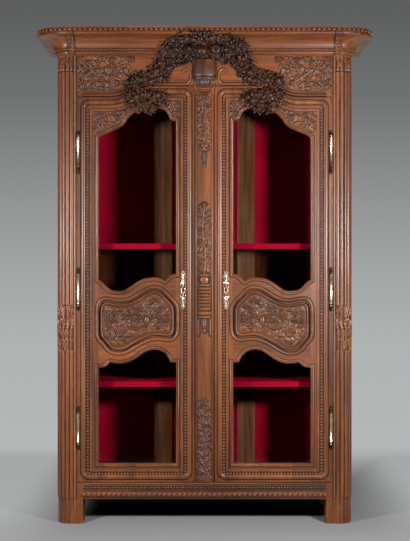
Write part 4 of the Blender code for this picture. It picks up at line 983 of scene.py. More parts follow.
class ARMOIRE_OT_stage(bpy.types.Operator):
    """Sets up the floor, the backdrop, the lamps and the camera"""

    bl_idname = "armoire.stage"
    bl_label = "Stage"

    # Lamps as (name, place, what it faces, width and height, whether shiny faces show it)
    LAMPS = (("key", (1.36, -2.24, 1.42), (0.0, FRONT_Y, 1.20), (0.26, 0.26), True),
             ("side", (-1.66, -2.21, 1.42), (0.0, FRONT_Y, 1.20), (0.26, 0.26), True),
             ("fill", (-0.6, -5.6, 4.6), (0.0, FRONT_Y, 1.1), (3.0, 2.0), False),
             ("rear", (0.0, 2.3, 3.9), (0.0, 0.3, 1.6), (2.4, 0.3), False))
    CAMERA_X = 0.0019
    SENSOR_WIDTH = 36.0
    ROOM_GREY = (0.003, 0.003, 0.0033, 1.0)
    # The backdrop: how far it reaches, where it bends up, the radius of the bend and the wall's top
    REACH, BEND_Y, BEND, WALL_TOP = 30.0, 2.4, 0.9, 7.0
    PAPER_GREYS = (0.004, 0.335)
    # Painted light: a glow up the wall, brighter low down, as (share of the height, grey)
    GLOW_HEIGHT = 3.2
    GLOW = ((0.0, 0.470), (0.20, 0.445), (0.40, 0.366), (0.60, 0.266), (0.80, 0.165), (1.0, 0.115))

    def execute(self, context):
        stage = settings()[2]
        self.backdrop()
        [self.lamp(*lamp, getattr(stage, lamp[0] + "_power")) for lamp in self.LAMPS]
        camera = bpy.data.cameras.new("camera")
        camera.lens = stage.lens
        camera.sensor_width = self.SENSOR_WIDTH
        holder = new_object("camera", camera)
        holder.location = (self.CAMERA_X, FRONT_Y - stage.distance, stage.eye_height)
        holder.rotation_euler = (QUARTER, 0.0, 0.0)
        context.scene.camera = holder
        world = bpy.data.worlds.new("studio")
        world.use_nodes = True
        world.node_tree.nodes["Background"].inputs["Color"].default_value = self.ROOM_GREY
        context.scene.world = world
        context.scene.view_settings.view_transform = "Standard"
        return {"FINISHED"}

    def lamp(self, name, place, target, size, mirrored, watts):
        """A rectangular lamp that faces a target."""
        light = bpy.data.lights.new(name + "_light", "AREA")
        light.shape = "RECTANGLE"
        light.size, light.size_y = size
        light.energy = watts
        holder = new_object(name + "_light", light)
        holder.visible_glossy = mirrored
        holder.location = place
        holder.rotation_euler = (Vector(target) - Vector(place)).to_track_quat("-Z", "Y").to_euler()
        return holder

    def backdrop(self):
        """A floor that bends up into a wall, whose painted glow is paler towards the floor."""
        line = [(-self.REACH, 0.0), (-3.0, 0.0), (0.0, 0.0)]
        for angle in np.linspace(0.0, QUARTER, 13):
            line.append((self.BEND_Y + self.BEND * math.sin(angle), self.BEND * (1 - math.cos(angle))))
        line.append((self.BEND_Y + self.BEND, self.WALL_TOP))
        points = [(x, y, z) for y, z in line for x in (-self.REACH, self.REACH)]
        faces = [[2 * i, 2 * i + 1, 2 * i + 3, 2 * i + 2] for i in range(len(line) - 1)]
        mesh = bpy.data.meshes.new("backdrop")
        mesh.from_pydata(points, [], faces)
        mesh.shade_smooth()
        mesh.materials.append(self.backdrop_material())
        obj = new_object("backdrop", mesh)
        obj.visible_diffuse = False
        return obj

    def backdrop_material(self):
        """Grey paper: lit on the floor with a painted shadow under the armoire, glowing up the wall and
        beside the armoire as painted light, and clear from behind.
        """
        inputs = {"Roughness": 0.85, "Specular IOR Level": 0.0}
        material, tree, shader = new_material("backdrop_paper", inputs)
        place = add_node(tree, "ShaderNodeSeparateXYZ", {0: object_place(tree)}).outputs
        # Painted shadow: the paper is dark under the armoire; it is also dark out in front, except to the
        # camera
        beside = span_node(tree, math_node(tree, "ABSOLUTE", place["X"]), 0.58, 0.68)
        shade = math_node(tree, "MAXIMUM", beside, span_node(tree, place["Y"], 0.02, -0.07))
        seen = add_node(tree, "ShaderNodeLightPath").outputs["Is Camera Ray"]
        close = math_node(tree, "MAXIMUM", span_node(tree, place["Y"], -2.2, -0.9), seen)
        ends = [tone_node(tree, (0.985 * grey, grey, 1.015 * grey)) for grey in self.PAPER_GREYS]
        paper = mix_node(tree, math_node(tree, "MULTIPLY", shade, close), *ends)
        tree.links.new(paper, shader.inputs["Base Color"])
        up = add_node(tree, "ShaderNodeMapRange", {"Value": place["Z"], "From Max": self.GLOW_HEIGHT})
        ramp = add_node(tree, "ShaderNodeValToRGB", {"Fac": up.outputs["Result"]})
        for _ in self.GLOW[2:]:
            ramp.color_ramp.elements.new(0.5)
        for element, (share, grey) in zip(ramp.color_ramp.elements, self.GLOW):
            element.position = share
            element.color = (0.975 * grey, grey, 1.01 * grey, 1.0)
        glow = add_node(tree, "ShaderNodeEmission", {"Color": ramp.outputs["Color"]})
        # Painted light: the floor beside the armoire and the wall behind glow, standing in for lamp light
        # there
        aside = math_node(tree, "ABSOLUTE", math_node(tree, "SUBTRACT", place["X"], 0.09))
        near = math_node(tree, "MULTIPLY", span_node(tree, aside, 0.62, 1.12),
                         span_node(tree, place["Y"], -1.3, 0.2))
        share = math_node(tree, "MAXIMUM", span_node(tree, place["Y"], 0.5, 2.3),
                          math_node(tree, "MULTIPLY", near, 0.8))
        front = mix_shaders(tree, share, shader.outputs["BSDF"], glow.outputs["Emission"])
        behind = add_node(tree, "ShaderNodeNewGeometry").outputs["Backfacing"]
        mix_shaders(tree, behind, front, add_node(tree, "ShaderNodeBsdfTransparent").outputs["BSDF"])
        return material


class ARMOIRE_OT_frame_finish(bpy.types.Operator):
    """Gives the frame's own pieces their finishes"""

    bl_idname = "armoire.frame_finish"
    bl_label = "Frame finishes"

    # The first word found in a piece's name gives its finish
    FINISHES = (
        ("glass", "pane_glass"), ("hinge", "pale_brass"), ("key_plate", "pale_brass"), ("lock", "dark_iron"),
        ("lining", "crimson_cloth"), ("shelf", "inside_oak_level"), ("back_board", "shaded_oak"),
        ("back_muntin", "inside_oak_upright"), ("floor_board", "inside_oak_level"),
        ("top_board", "inside_oak_level"), ("side_top_rail", "waxed_oak_deep"),
        ("side_bottom_rail", "waxed_oak_deep"), ("cornice_left", "waxed_oak_deep"),
        ("cornice_right", "waxed_oak_deep"), ("rail", "waxed_oak_level"), ("cornice", "waxed_oak_level"),
        ("garland", "waxed_oak_level"), ("", "waxed_oak_upright"),
    )

    def execute(self, context):
        for name, node in frame["nodes"].items():
            material = next(finish for word, finish in self.FINISHES if word in name)
            node.data.materials.clear()
            node.data.materials.append(finish_of(material))
        return {"FINISHED"}


class ARMOIRE_OT_posts(bpy.types.Operator):
    """Carves the reeds and leaves of the rounded front posts"""

    bl_idname = "armoire.posts"
    bl_label = "Front posts"

    # Where the carving starts, then the fillet's edges and the reeds' pitch, measured from there
    START = 0.6008
    FILLET = (0.0090, 0.0200)
    REED = 0.0207
    FILLET_HEIGHT = 0.0062
    REED_HEIGHT = 0.0056
    # Half a reed's width, as a share of the pitch
    REED_SHARE = 0.455
    # Where the shallower reeds of the foot end, and over what height they deepen
    FOOT = (0.117, 0.012)
    GRID = 0.0021
    # Heights of the carved rows, as (first, last, how many), close together at the leaves
    ROWS = ((0.003, 0.110, 6), (0.114, 0.14, 9), (0.17, 0.81, 24), (0.815, 1.042, 92), (1.07, 2.13, 30),
            (2.138, 2.2195, 34))
    LEAF_ZONES = ((0.820, 1.037), (2.142, 2.216))

    def execute(self, context):
        flat = HALF_WIDTH - POST_CORNER_RADIUS - self.START
        arc = POST_CORNER_RADIUS * QUARTER
        end = flat + arc + POST_BACK_Y - FRONT_Y - POST_CORNER_RADIUS - 0.001
        zs = np.concatenate([np.linspace(*rows) for rows in self.ROWS])
        face = Carving(np.linspace(0.0, end, round(end / self.GRID)), zs)
        self.reeds(face)
        rng = random.Random(5)
        for low, high in self.LEAF_ZONES:
            self.leaves(face, low, high, end, rng)

        def place(s, z, height):
            angle = np.clip((s - flat) / POST_CORNER_RADIUS, 0.0, QUARTER)
            out = np.stack([-np.sin(angle), -np.cos(angle)], axis=1)
            x = -self.START - np.minimum(s, flat) - POST_CORNER_RADIUS * np.sin(angle)
            y = FRONT_Y + POST_CORNER_RADIUS * (1 - np.cos(angle)) + np.maximum(s - flat - arc, 0.0)
            return np.stack([x + out[:, 0] * height, y + out[:, 1] * height, z], axis=1)

        shape, crest = face.solid(place, least=0.0, depth=0.0055)
        keep_pair("front_post_reeds", shape, "carved_oak_upright", CARCASS, "oak", crest=crest)
        return {"FINISHED"}

    def reeds(self, face):
        """A fillet beside the door and then even rounded reeds, shallower on the foot."""
        fillet = (face.x - sum(self.FILLET) / 2) / (self.FILLET[1] - self.FILLET[0]) * 2
        heights = self.FILLET_HEIGHT * np.sqrt(np.clip(1 - fillet ** 4, 0, 1))
        share = ((face.x - self.FILLET[1]) / self.REED) % 1.0
        reed = self.REED_HEIGHT * np.sqrt(np.clip(1 - ((share - 0.5) / self.REED_SHARE) ** 2, 0, 1))
        heights = np.where(face.x > self.FILLET[1], reed, heights)
        foot = 0.10 + 0.90 * np.clip((face.z - self.FOOT[0]) / self.FOOT[1], 0, 1)
        face.height = 0.0006 + heights * np.sqrt(foot)

    def leaves(self, face, low, high, end, rng):
        """Tiers of lobed leaves that spring up and down from the middle of a zone."""
        zone = (face.z > low) & (face.z < high) & (face.x > self.FILLET[1])
        face.height[zone] *= 0.45
        middle, half = (low + high) / 2, (high - low) / 2
        tall = half > 0.06
        step = self.REED * 0.97
        for column in range(int((end - self.FILLET[1]) / step)):
            s = self.FILLET[1] + (column + 0.5) * step
            starts = ((low + 0.1 * half, 1.5),)
            if tall:
                starts = ((middle + 0.45 * half, 0.62), (middle, 0.62), (middle - 0.1 * half, 0.5))
            for z, size in starts:
                lean = rng.uniform(-0.2, 0.2)
                sizes = (size * half, 0.46 * step, 0.0075)
                face.leaf(s, z, *sizes, QUARTER + lean, 0.0, 3)
                if tall:
                    face.leaf(s, 2 * middle - z, *sizes, -QUARTER + lean, 0.0, 3)
            if tall:
                face.dome(s, middle, 0.42 * step, 0.012, 0.0085)


# The cornice's section in three parts, as (distance out from the body, height above it)
CORNICE_BASE = ((-0.034, 0.0003), (0.0100, 0.0003), (0.0100, 0.0030), (0.0138, 0.0040), (0.0172, 0.0070),
                (0.0186, 0.0110), (0.0180, 0.0145), (0.0162, 0.0165), (0.0162, 0.0182), (0.0196, 0.0192),
                (0.0205, 0.0285), (0.0262, 0.0300))
CORNICE_COVE = ((0.0264, 0.0315), (0.0930, 0.0840))
CORNICE_CROWN = ((0.0948, 0.0850), (0.0972, 0.0872), (0.0978, 0.0895), (0.0966, 0.0920), (0.0948, 0.0935),
                 (0.0948, 0.0950), (0.1000, 0.0962), (0.1012, 0.0975), (0.1012, 0.1105), (0.1030, 0.1122),
                 (0.1050, 0.1135), (0.1050, 0.1170), (-0.034, 0.1170))


def cornice_section():
    """The whole section of the cornice."""
    (x0, z0), (x1, z1) = CORNICE_COVE
    cove = [(x0 + (x1 - x0) * (1 - math.cos(a)), z0 + (z1 - z0) * math.sin(a))
            for a in np.linspace(0.0, QUARTER, 13)]
    return [*CORNICE_BASE, *cove, *CORNICE_CROWN]


def cornice_reach(z):
    """How far the cornice stands out at a height, zero below it."""
    line = np.array(cornice_section()[1:-1])
    return np.where(z < BODY_HEIGHT, 0.0, np.interp(z - BODY_HEIGHT, line[:, 1], line[:, 0]))


class ARMOIRE_OT_cornice(bpy.types.Operator):
    """Runs the finer cornice with its pearls and ribbon"""

    bl_idname = "armoire.cornice"
    bl_label = "Cornice"

    # Where the two bead rows lie on the section
    PEARLS = (0.0208, 0.0242)
    RIBBON = (0.1014, 0.1042)
    # Ends of the leaf strip, measured along the corner from where it turns
    LEAF_STRIP = (-0.016, 0.021)
    LEAF_BEND = 0.10
    # Length, half width and relief of a leaf
    LEAF = (0.019, 0.0085, 0.0058)
    # Ends of the dark seam beside the leaves
    SEAM = (0.0235, 0.0305)
    # Strips that the pearls and the ribbon lie on, painted dark as shade
    GROUNDS = (((0.0180, 0.0194), (0.0209, 0.0197), (0.0209, 0.0282), (0.0180, 0.0284)),
               ((0.0990, 0.0966), (0.1016, 0.0972), (0.1016, 0.1108), (0.0990, 0.1112)))
    # Between the front length and the two returns
    GAP = 0.0008

    def plan(self, ends):
        """Stations of the left return, from the back round the corner, as (x, y, way out)."""
        stations = [(-HALF_WIDTH, BACK_Y, 0.0), (-HALF_WIDTH, 0.1, 0.0)]
        for angle in np.linspace(0.0, QUARTER, 19):
            stations.append((POST_CENTRE[0] - POST_CORNER_RADIUS * math.cos(angle),
                             POST_CENTRE[1] - POST_CORNER_RADIUS * math.sin(angle), angle))
        return [*stations, (ends, FRONT_Y, QUARTER)]

    def run(self, stations, section):
        """A section along level stations."""
        return loft(np.swapaxes([self.line(stations, place) for place in section], 0, 1))

    def corner_leaves(self):
        """Leaves that climb the hollow of the cornice above each front post."""
        start, end = self.LEAF_STRIP
        face = Carving.over((start, BODY_HEIGHT + 0.004), (end, BODY_HEIGHT + 0.088), 0.0016)
        face.lift((face.x > start + 0.002) & (face.x < end - 0.004), 0.0012)
        for z in np.arange(0.006, 0.072, 0.0135):
            for s, lean in ((start + 0.009, 0.45), (end - 0.011, -0.45), ((start + end) / 2 - 0.001, 0.0)):
                stalk = BODY_HEIGHT + z + 0.004 * (lean == 0)
                face.leaf(s, stalk, *self.LEAF, QUARTER + lean, 0.0, 3)

        def place(s, z, height):
            turn, along = np.minimum(s, 0.0) / self.LEAF_BEND, np.maximum(s, 0.0)
            out = np.stack([np.sin(turn), -np.cos(turn)], axis=1)
            spot = np.array(POST_CENTRE) + out * (POST_CORNER_RADIUS + cornice_reach(z) + height)[:, None]
            return np.column_stack([spot[:, 0] + along, spot[:, 1], z])

        shape, crest = face.solid(place)
        keep_pair("cornice_corner_leaves", shape, "carved_oak_upright", CARCASS, "carved_oak", crest=crest)
        start, end = self.SEAM
        seam = Carving.over((start, BODY_HEIGHT + 0.002), (end, BODY_HEIGHT + 0.094), 0.0015)
        seam.height[:] = 0.0006
        shape, crest = seam.solid(place, least=0.0001)
        keep_pair("cornice_seam", shape, "carved_oak_upright", CARCASS, "oak", crest=0.0 * crest)

    def line(self, stations, place):
        """The path of one point of the section."""
        return [(x - math.cos(angle) * place[0], y - math.sin(angle) * place[0], BODY_HEIGHT + place[1])
                for x, y, angle in stations]

    def execute(self, context):
        carving = settings()[1]
        joint = CORNICE_JOINT_X
        returns = self.plan(-joint - self.GAP)
        front = [(x, FRONT_Y, QUARTER) for x in np.linspace(-joint, joint, 9)]
        section = cornice_section()
        keep_pair("cornice_run", self.run(returns, section), "waxed_oak_level", CARCASS, "oak", ["cornice"],
                  sharp=28.0)
        keep("cornice_run_front", self.run(front, section), "waxed_oak_level", "carcass", "oak",
             ["cornice_front"], sharp=28.0)
        whole = [*returns, *front, *((-x, y, math.pi - angle) for x, y, angle in reversed(returns))]
        shape = joined([self.run(whole, ground) for ground in self.GROUNDS])
        # A low crest everywhere: painted shade behind the beads
        crest = np.full(len(shape[0]), 0.14)
        keep("cornice_grounds", shape, "carved_oak_level", "carcass", "oak", crest=crest)
        self.corner_leaves()
        lines = []
        for place in (self.PEARLS, self.RIBBON):
            left = self.line(returns, place)
            right = [(-x, y, z) for x, y, z in reversed(left)]
            lines.append(left + self.line(front, place) + right)
        bead_rows("cornice_pearls", lines[:1], "carcass", carving.pearl_pitch, carving.pearl_width, 0.0034,
                  0.0, "carved_oak_level")
        bead_rows("cornice_ribbon", lines[1:], "carcass", 0.0235, 0.0105, 0.0040, 0.35, "carved_oak_level",
                  0.62)
        return {"FINISHED"}


class ARMOIRE_OT_front_rails(bpy.types.Operator):
    """Carves the frieze and the bottom rail"""

    bl_idname = "armoire.front_rails"
    bl_label = "Frieze and bottom rail"

    # Sprays of the left half, in metres from the middle and above the floor
    FLOWERS = ((-0.586, 2.198), (-0.439, 2.196), (-0.349, 2.203), (-0.581, 2.089), (-0.420, 2.089),
               (-0.512, 2.175), (-0.486, 2.112))
    LEAVES = ((-0.565, 2.180, 0.1), (-0.535, 2.196, -0.9), (-0.545, 2.150, -0.5), (-0.500, 2.200, 0.4),
              (-0.475, 2.160, -0.3), (-0.460, 2.130, 0.9), (-0.548, 2.068, 0.6), (-0.520, 2.090, -0.4),
              (-0.450, 2.070, 2.4), (-0.400, 2.180, 0.5), (-0.385, 2.155, -0.8), (-0.560, 2.122, 0.7),
              (-0.433, 2.150, 1.9), (-0.600, 2.140, 1.2), (-0.605, 2.110, -1.0))
    STEMS = (((-0.600, 2.155), (-0.560, 2.165), (-0.505, 2.150), (-0.440, 2.165), (-0.370, 2.190)),
             ((-0.586, 2.198), (-0.560, 2.165)), ((-0.505, 2.150), (-0.470, 2.120), (-0.420, 2.089)),
             ((-0.560, 2.165), (-0.560, 2.120), (-0.581, 2.089)), ((-0.440, 2.165), (-0.439, 2.196)))
    # The edge moulding's middle above the frieze's lower edge, and the gap at the posts
    EDGE_RISE = 0.007
    END_GAP = 0.004
    # The scroll that ends the lower edge beside the pendant
    SCROLL = ((-0.076, 2.092), (-0.067, 2.112), (-0.070, 2.140), (-0.084, 2.156), (-0.100, 2.148),
              (-0.098, 2.132))
    # Mouldings of the bottom rail, as (distance above the leaf row, width, height), and the pearls' bed,
    # whose nil crests paint it dark as shade
    LEAF_ROW = 0.1385
    PEARL_ROW = 0.1707
    BOTTOM_EDGES = ((0.0, 0.030, 0.0035), (0.0210, 0.005, 0.003), (0.0440, 0.006, 0.0035),
                    (-0.0185, 0.004, 0.003))
    BED = ((0.0072, SUNK, 0.0), (0.0072, 0.0005, 0.0), (-0.0072, 0.0005, 0.0), (-0.0072, SUNK, 0.0))

    def execute(self, context):
        self.edge()
        self.sprays()
        self.bottom()
        return {"FINISHED"}

    def edge(self):
        """The double moulding along the frieze's lower edge, the scrolls by the middle and the pendant."""
        line = top_edge(-DOOR_GAP - self.EDGE_RISE, -POST_INNER_X + self.END_GAP, -0.083)
        path = np.vstack([line[:-1], smooth([tuple(line[-1]), *self.SCROLL], 5)])
        shape, crest = mouldings(((path, quirked(0.0128, 0.0070, 0.0016), False),
                                  (line + [0.0, 0.0145], quirked(0.0085, 0.0042, 0.0016), False)), FRONT_Y)
        keep_pair("frieze_edge", shape, "carved_oak_level", CARCASS, "oak", crest=crest)
        angles = np.linspace(0.0, math.pi, 25)
        base, half = DOOR_INNER_TOP + DOOR_GAP + self.EDGE_RISE, PENDANT_HALF_WIDTH + 0.004
        bowl = np.array([(-half * math.cos(a), base - PENDANT_DROP * math.sin(a)) for a in angles])
        shape, crest = mouldings(((bowl, quirked(0.0105, 0.007, 0.0012), False),), FRONT_Y)
        keep("pendant_edge", shape, "carved_oak_level", "carcass", "oak", crest=crest)

    def sprays(self):
        """Flowers and leaves in low relief on the two ends of the frieze."""
        carving = settings()[1]
        face = Carving.over((-0.612, 2.050), (-0.330, 2.217), carving.grid)
        rng = random.Random(11)
        inside = (face.x > -0.607) & (face.z > door_top_at(face.x) + 0.030)
        field = inside & (face.x < -0.345 - (2.2 - face.z) * 0.25)
        patches = np.sin(face.x * 61) * np.sin(face.z * 83) > -0.25
        face.fill(field & patches, 0.0230, 0.0240, 0.0034, rng, 0.3)
        for points in self.STEMS:
            face.stem(points, 0.0055, 0.0032)
        for x, z, turn in self.LEAVES:
            face.leaf(x, z, 0.036, 0.0105, carving.leaf_depth, turn, rng.uniform(-0.3, 0.3), 3)
        face.spray(self.FLOWERS, 0.0165, carving.flower_depth, rng, (6, 7, 8))
        shape, crest = face.solid(on_front(FRONT_Y), within=inside)
        # Crests lowered so the carving reads darker: painted shade
        keep_pair("frieze_spray", shape, "carved_oak_level", CARCASS, "carved_oak", crest=0.68 * crest)

    def bottom(self):
        """A pearl row and a leaf moulding along the bottom rail."""
        end = POST_INNER_X - self.END_GAP
        pearls = [[(x, FRONT_Y, self.PEARL_ROW) for x in (-end, end)]]
        bead_rows("bottom_rail_pearls", pearls, "carcass", 0.0137, 0.0105, 0.0066, 0.0, "carved_oak_level",
                  0.74)
        line = np.array([(-end, self.LEAF_ROW), (end, self.LEAF_ROW)])
        shape, crest = mouldings([(line + [0.0, offset], quirked(wide, proud, 0.0018), False)
                                  for offset, wide, proud in self.BOTTOM_EDGES], FRONT_Y)
        # Crests lowered to darken the edges with painted shade
        keep("bottom_rail_edges", shape, "carved_oak_level", "carcass", "oak", crest=0.8 * crest)
        shape, crest = mouldings(((line + [0.0, self.PEARL_ROW - self.LEAF_ROW], self.BED, False),), FRONT_Y)
        keep("bottom_rail_ground", shape, "carved_oak_level", "carcass", "oak", crest=crest)
        leaves = [[(x, FRONT_Y - 0.003, self.LEAF_ROW) for x in (-end, end)]]
        bead_rows("bottom_rail_leaves", leaves, "carcass", 0.0235, 0.0270, 0.0075, 0.62, "carved_oak_level",
                  0.66)


class ARMOIRE_OT_doors(bpy.types.Operator):
    """Adds the bead rows, fillets, arch ribbons and spandrel carving of the doors"""

    bl_idname = "armoire.doors"
    bl_label = "Doors"

    # Section of the sticking around the glass, as (distance from the glass, height proud, crest); low crests
    # paint shade into its groove
    STICKING = ((0.0002, SUNK, 0.1), (0.0002, 0.0012, 0.5), (0.0012, 0.0036, 0.64), (0.0028, 0.0053, 0.66),
                (0.0044, 0.0058, 0.55), (0.0053, 0.0054, 0.05), (0.0064, 0.0054, 0.0), (0.0071, 0.0062, 0.35),
                (0.0090, 0.0076, 0.5), (0.0112, 0.0081, 0.52), (0.0134, 0.0075, 0.5), (0.0152, 0.0056, 0.42),
                (0.0163, 0.0030, 0.12), (0.0167, 0.0006, 0.0), (0.0190, 0.0005, 0.0), (0.0190, SUNK, 0.0))
    # Sections of the flat field's edge, with painted shade at its sides and a painted highlight on its flat
    # top, and of the bed under the beads, dark with painted shade
    FIELD = ((0.0074, SUNK, 0.0), (0.0074, 0.0006, 0.0), (0.0062, 0.0018, 0.3), (0.0054, 0.0028, 0.66),
             (-0.0044, 0.0028, 0.66), (-0.0052, 0.0016, 0.3), (-0.0058, 0.0005, 0.0), (-0.0084, 0.0005, 0.0),
             (-0.0084, SUNK, 0.0))
    BED = ((0.0078, SUNK, 0.2), (0.0078, 0.0004, 0.3), (0.0042, 0.0004, 0.0), (-0.0042, 0.0004, 0.0),
           (-0.0078, 0.0004, 0.3), (-0.0078, SUNK, 0.2))
    # Distances of the mouldings from the door's edges
    TORUS_INSET = 0.0230
    TORUS_CORNER = 0.0260
    ROW_INSET = 0.0445
    ROW_BOTTOM = 0.0380
    ROW_DROP = 0.0660
    FIELD_OFFSET = 0.0155
    # How much nearer the inner edge its bead row lies, and how far the ribbon lies from the glass
    INNER_SHIFT = 0.003
    RIBBON_OFFSET = 0.0112
    # Levels of the beads and of the ribbon in front of the face
    BEAD_LEVEL = 0.0004
    RIBBON_LEVEL = 0.0070
    # Corners of the carved ground above the glass, and its stems and flowers
    SPANDREL = ((-0.528, 1.835), (-0.105, 2.030))
    SPANDREL_STEMS = (((-0.515, 1.875), (-0.49, 1.915), (-0.44, 1.945), (-0.38, 1.972)),
                      ((-0.135, 1.945), (-0.15, 1.985), (-0.19, 2.010)))
    SPANDREL_FLOWERS = ((-0.500, 1.948), (-0.455, 1.955), (-0.505, 1.905), (-0.143, 2.005))

    def execute(self, context):
        carving = settings()[1]
        outer, inner = DOOR_OUTER_X + self.ROW_INSET, DOOR_INNER_X - self.ROW_INSET + self.INNER_SHIFT
        foot = [(x, DOOR_BOTTOM + self.ROW_BOTTOM) for x in (outer, inner)]
        loop = np.vstack([foot, top_edge(self.ROW_INSET, outer, inner)[::-1]])
        row = np.array([(outer, DOOR_TOP - self.ROW_DROP), *foot, (inner, DOOR_INNER_TOP - self.ROW_DROP)])
        arch, sill, low_arch = (door_edge(shaped) for shaped in (UPPER_ARCH, UPPER_SILL, LOWER_ARCH))
        low_sill = [(OUTER_SIGHT_X, LOWER_SILL), (INNER_SIGHT_X, LOWER_SILL)]
        sticking = [(-away, proud, crest) for away, proud, crest in self.STICKING]
        shape, crest = mouldings(((moved_line(loop, self.FIELD_OFFSET, True), self.FIELD, True),
                                  (row, self.BED, False),
                                  (self.torus_line(), quirked(0.0264, 0.0096), True),
                                  (np.vstack([sill, arch[::-1]]), sticking, True),
                                  (np.vstack([low_sill, low_arch[::-1]]), sticking, True)), FRONT_Y)
        keep_pair("door_mouldings", shape, "carved_oak_upright", DOORS, "oak", crest=crest)
        ribbon = moved_line(arch, self.RIBBON_OFFSET)
        for body, side, turn in zip(DOORS, SIDES, (1, -1)):
            lines = [[(turn * x, FRONT_Y - self.BEAD_LEVEL, z) for x, z in row]]
            bead_rows(f"door_beads_{side}", lines, body, carving.bead_pitch, carving.bead_width,
                      carving.bead_height, turn * 0.5, "carved_oak_upright", 0.78)
            lines = [[(turn * x, FRONT_Y - self.RIBBON_LEVEL, z) for x, z in ribbon]]
            bead_rows(f"door_arch_ribbon_{side}", lines, body, 0.0125, 0.0085, 0.0034, -turn * 0.6,
                      "carved_oak_upright", 0.9)
        self.spandrels(arch, carving)
        return {"FINISHED"}

    def torus_line(self):
        """The middle of the broad moulding that runs around the door, with round corners."""
        inset, radius = self.TORUS_INSET, self.TORUS_CORNER
        outer, inner = DOOR_OUTER_X + inset, DOOR_INNER_X - inset
        left, right, low = outer + radius, inner - radius, DOOR_BOTTOM + inset + radius
        top = [place for place in top_edge(inset)[::-1] if left < place[0] < right]
        centres = ((left, low), (right, low), (right, DOOR_INNER_TOP - inset - radius),
                   (left, DOOR_TOP - inset - radius))
        line = []
        for number, (x, z) in enumerate(centres):
            line += top if number == 3 else []
            for angle in np.linspace(0.0, QUARTER, 8) + math.pi + number * QUARTER:
                line.append((x + radius * math.cos(angle), z + radius * math.sin(angle)))
        return np.array(line)

    def spandrels(self, arch, carving):
        """Leaves and flowers between the arch and the bead row."""
        face = Carving.over(*self.SPANDREL, carving.grid)
        sill = np.interp(face.x, *arch.T)
        ceiling = np.interp(face.x, *top_edge(self.ROW_INSET + 0.024).T)
        room = (face.z > sill + 0.026) & (face.z < ceiling - 0.004) & (face.x < -0.121)
        rng = random.Random(23)
        face.fill(room, 0.0185, 0.027, carving.leaf_depth, rng, 0.25)
        for points in self.SPANDREL_STEMS:
            face.stem(points, 0.006, 0.0055)
        face.spray(self.SPANDREL_FLOWERS, 0.0150, carving.flower_depth, rng)
        within = (face.z > sill + 0.018) & (face.z < ceiling)
        shape, crest = face.solid(on_front(FRONT_Y), within=within)
        # Crests lowered so the carving reads darker: painted shade
        keep_pair("door_spandrel", shape, "carved_oak_upright", DOORS, "carved_oak", crest=0.72 * crest)


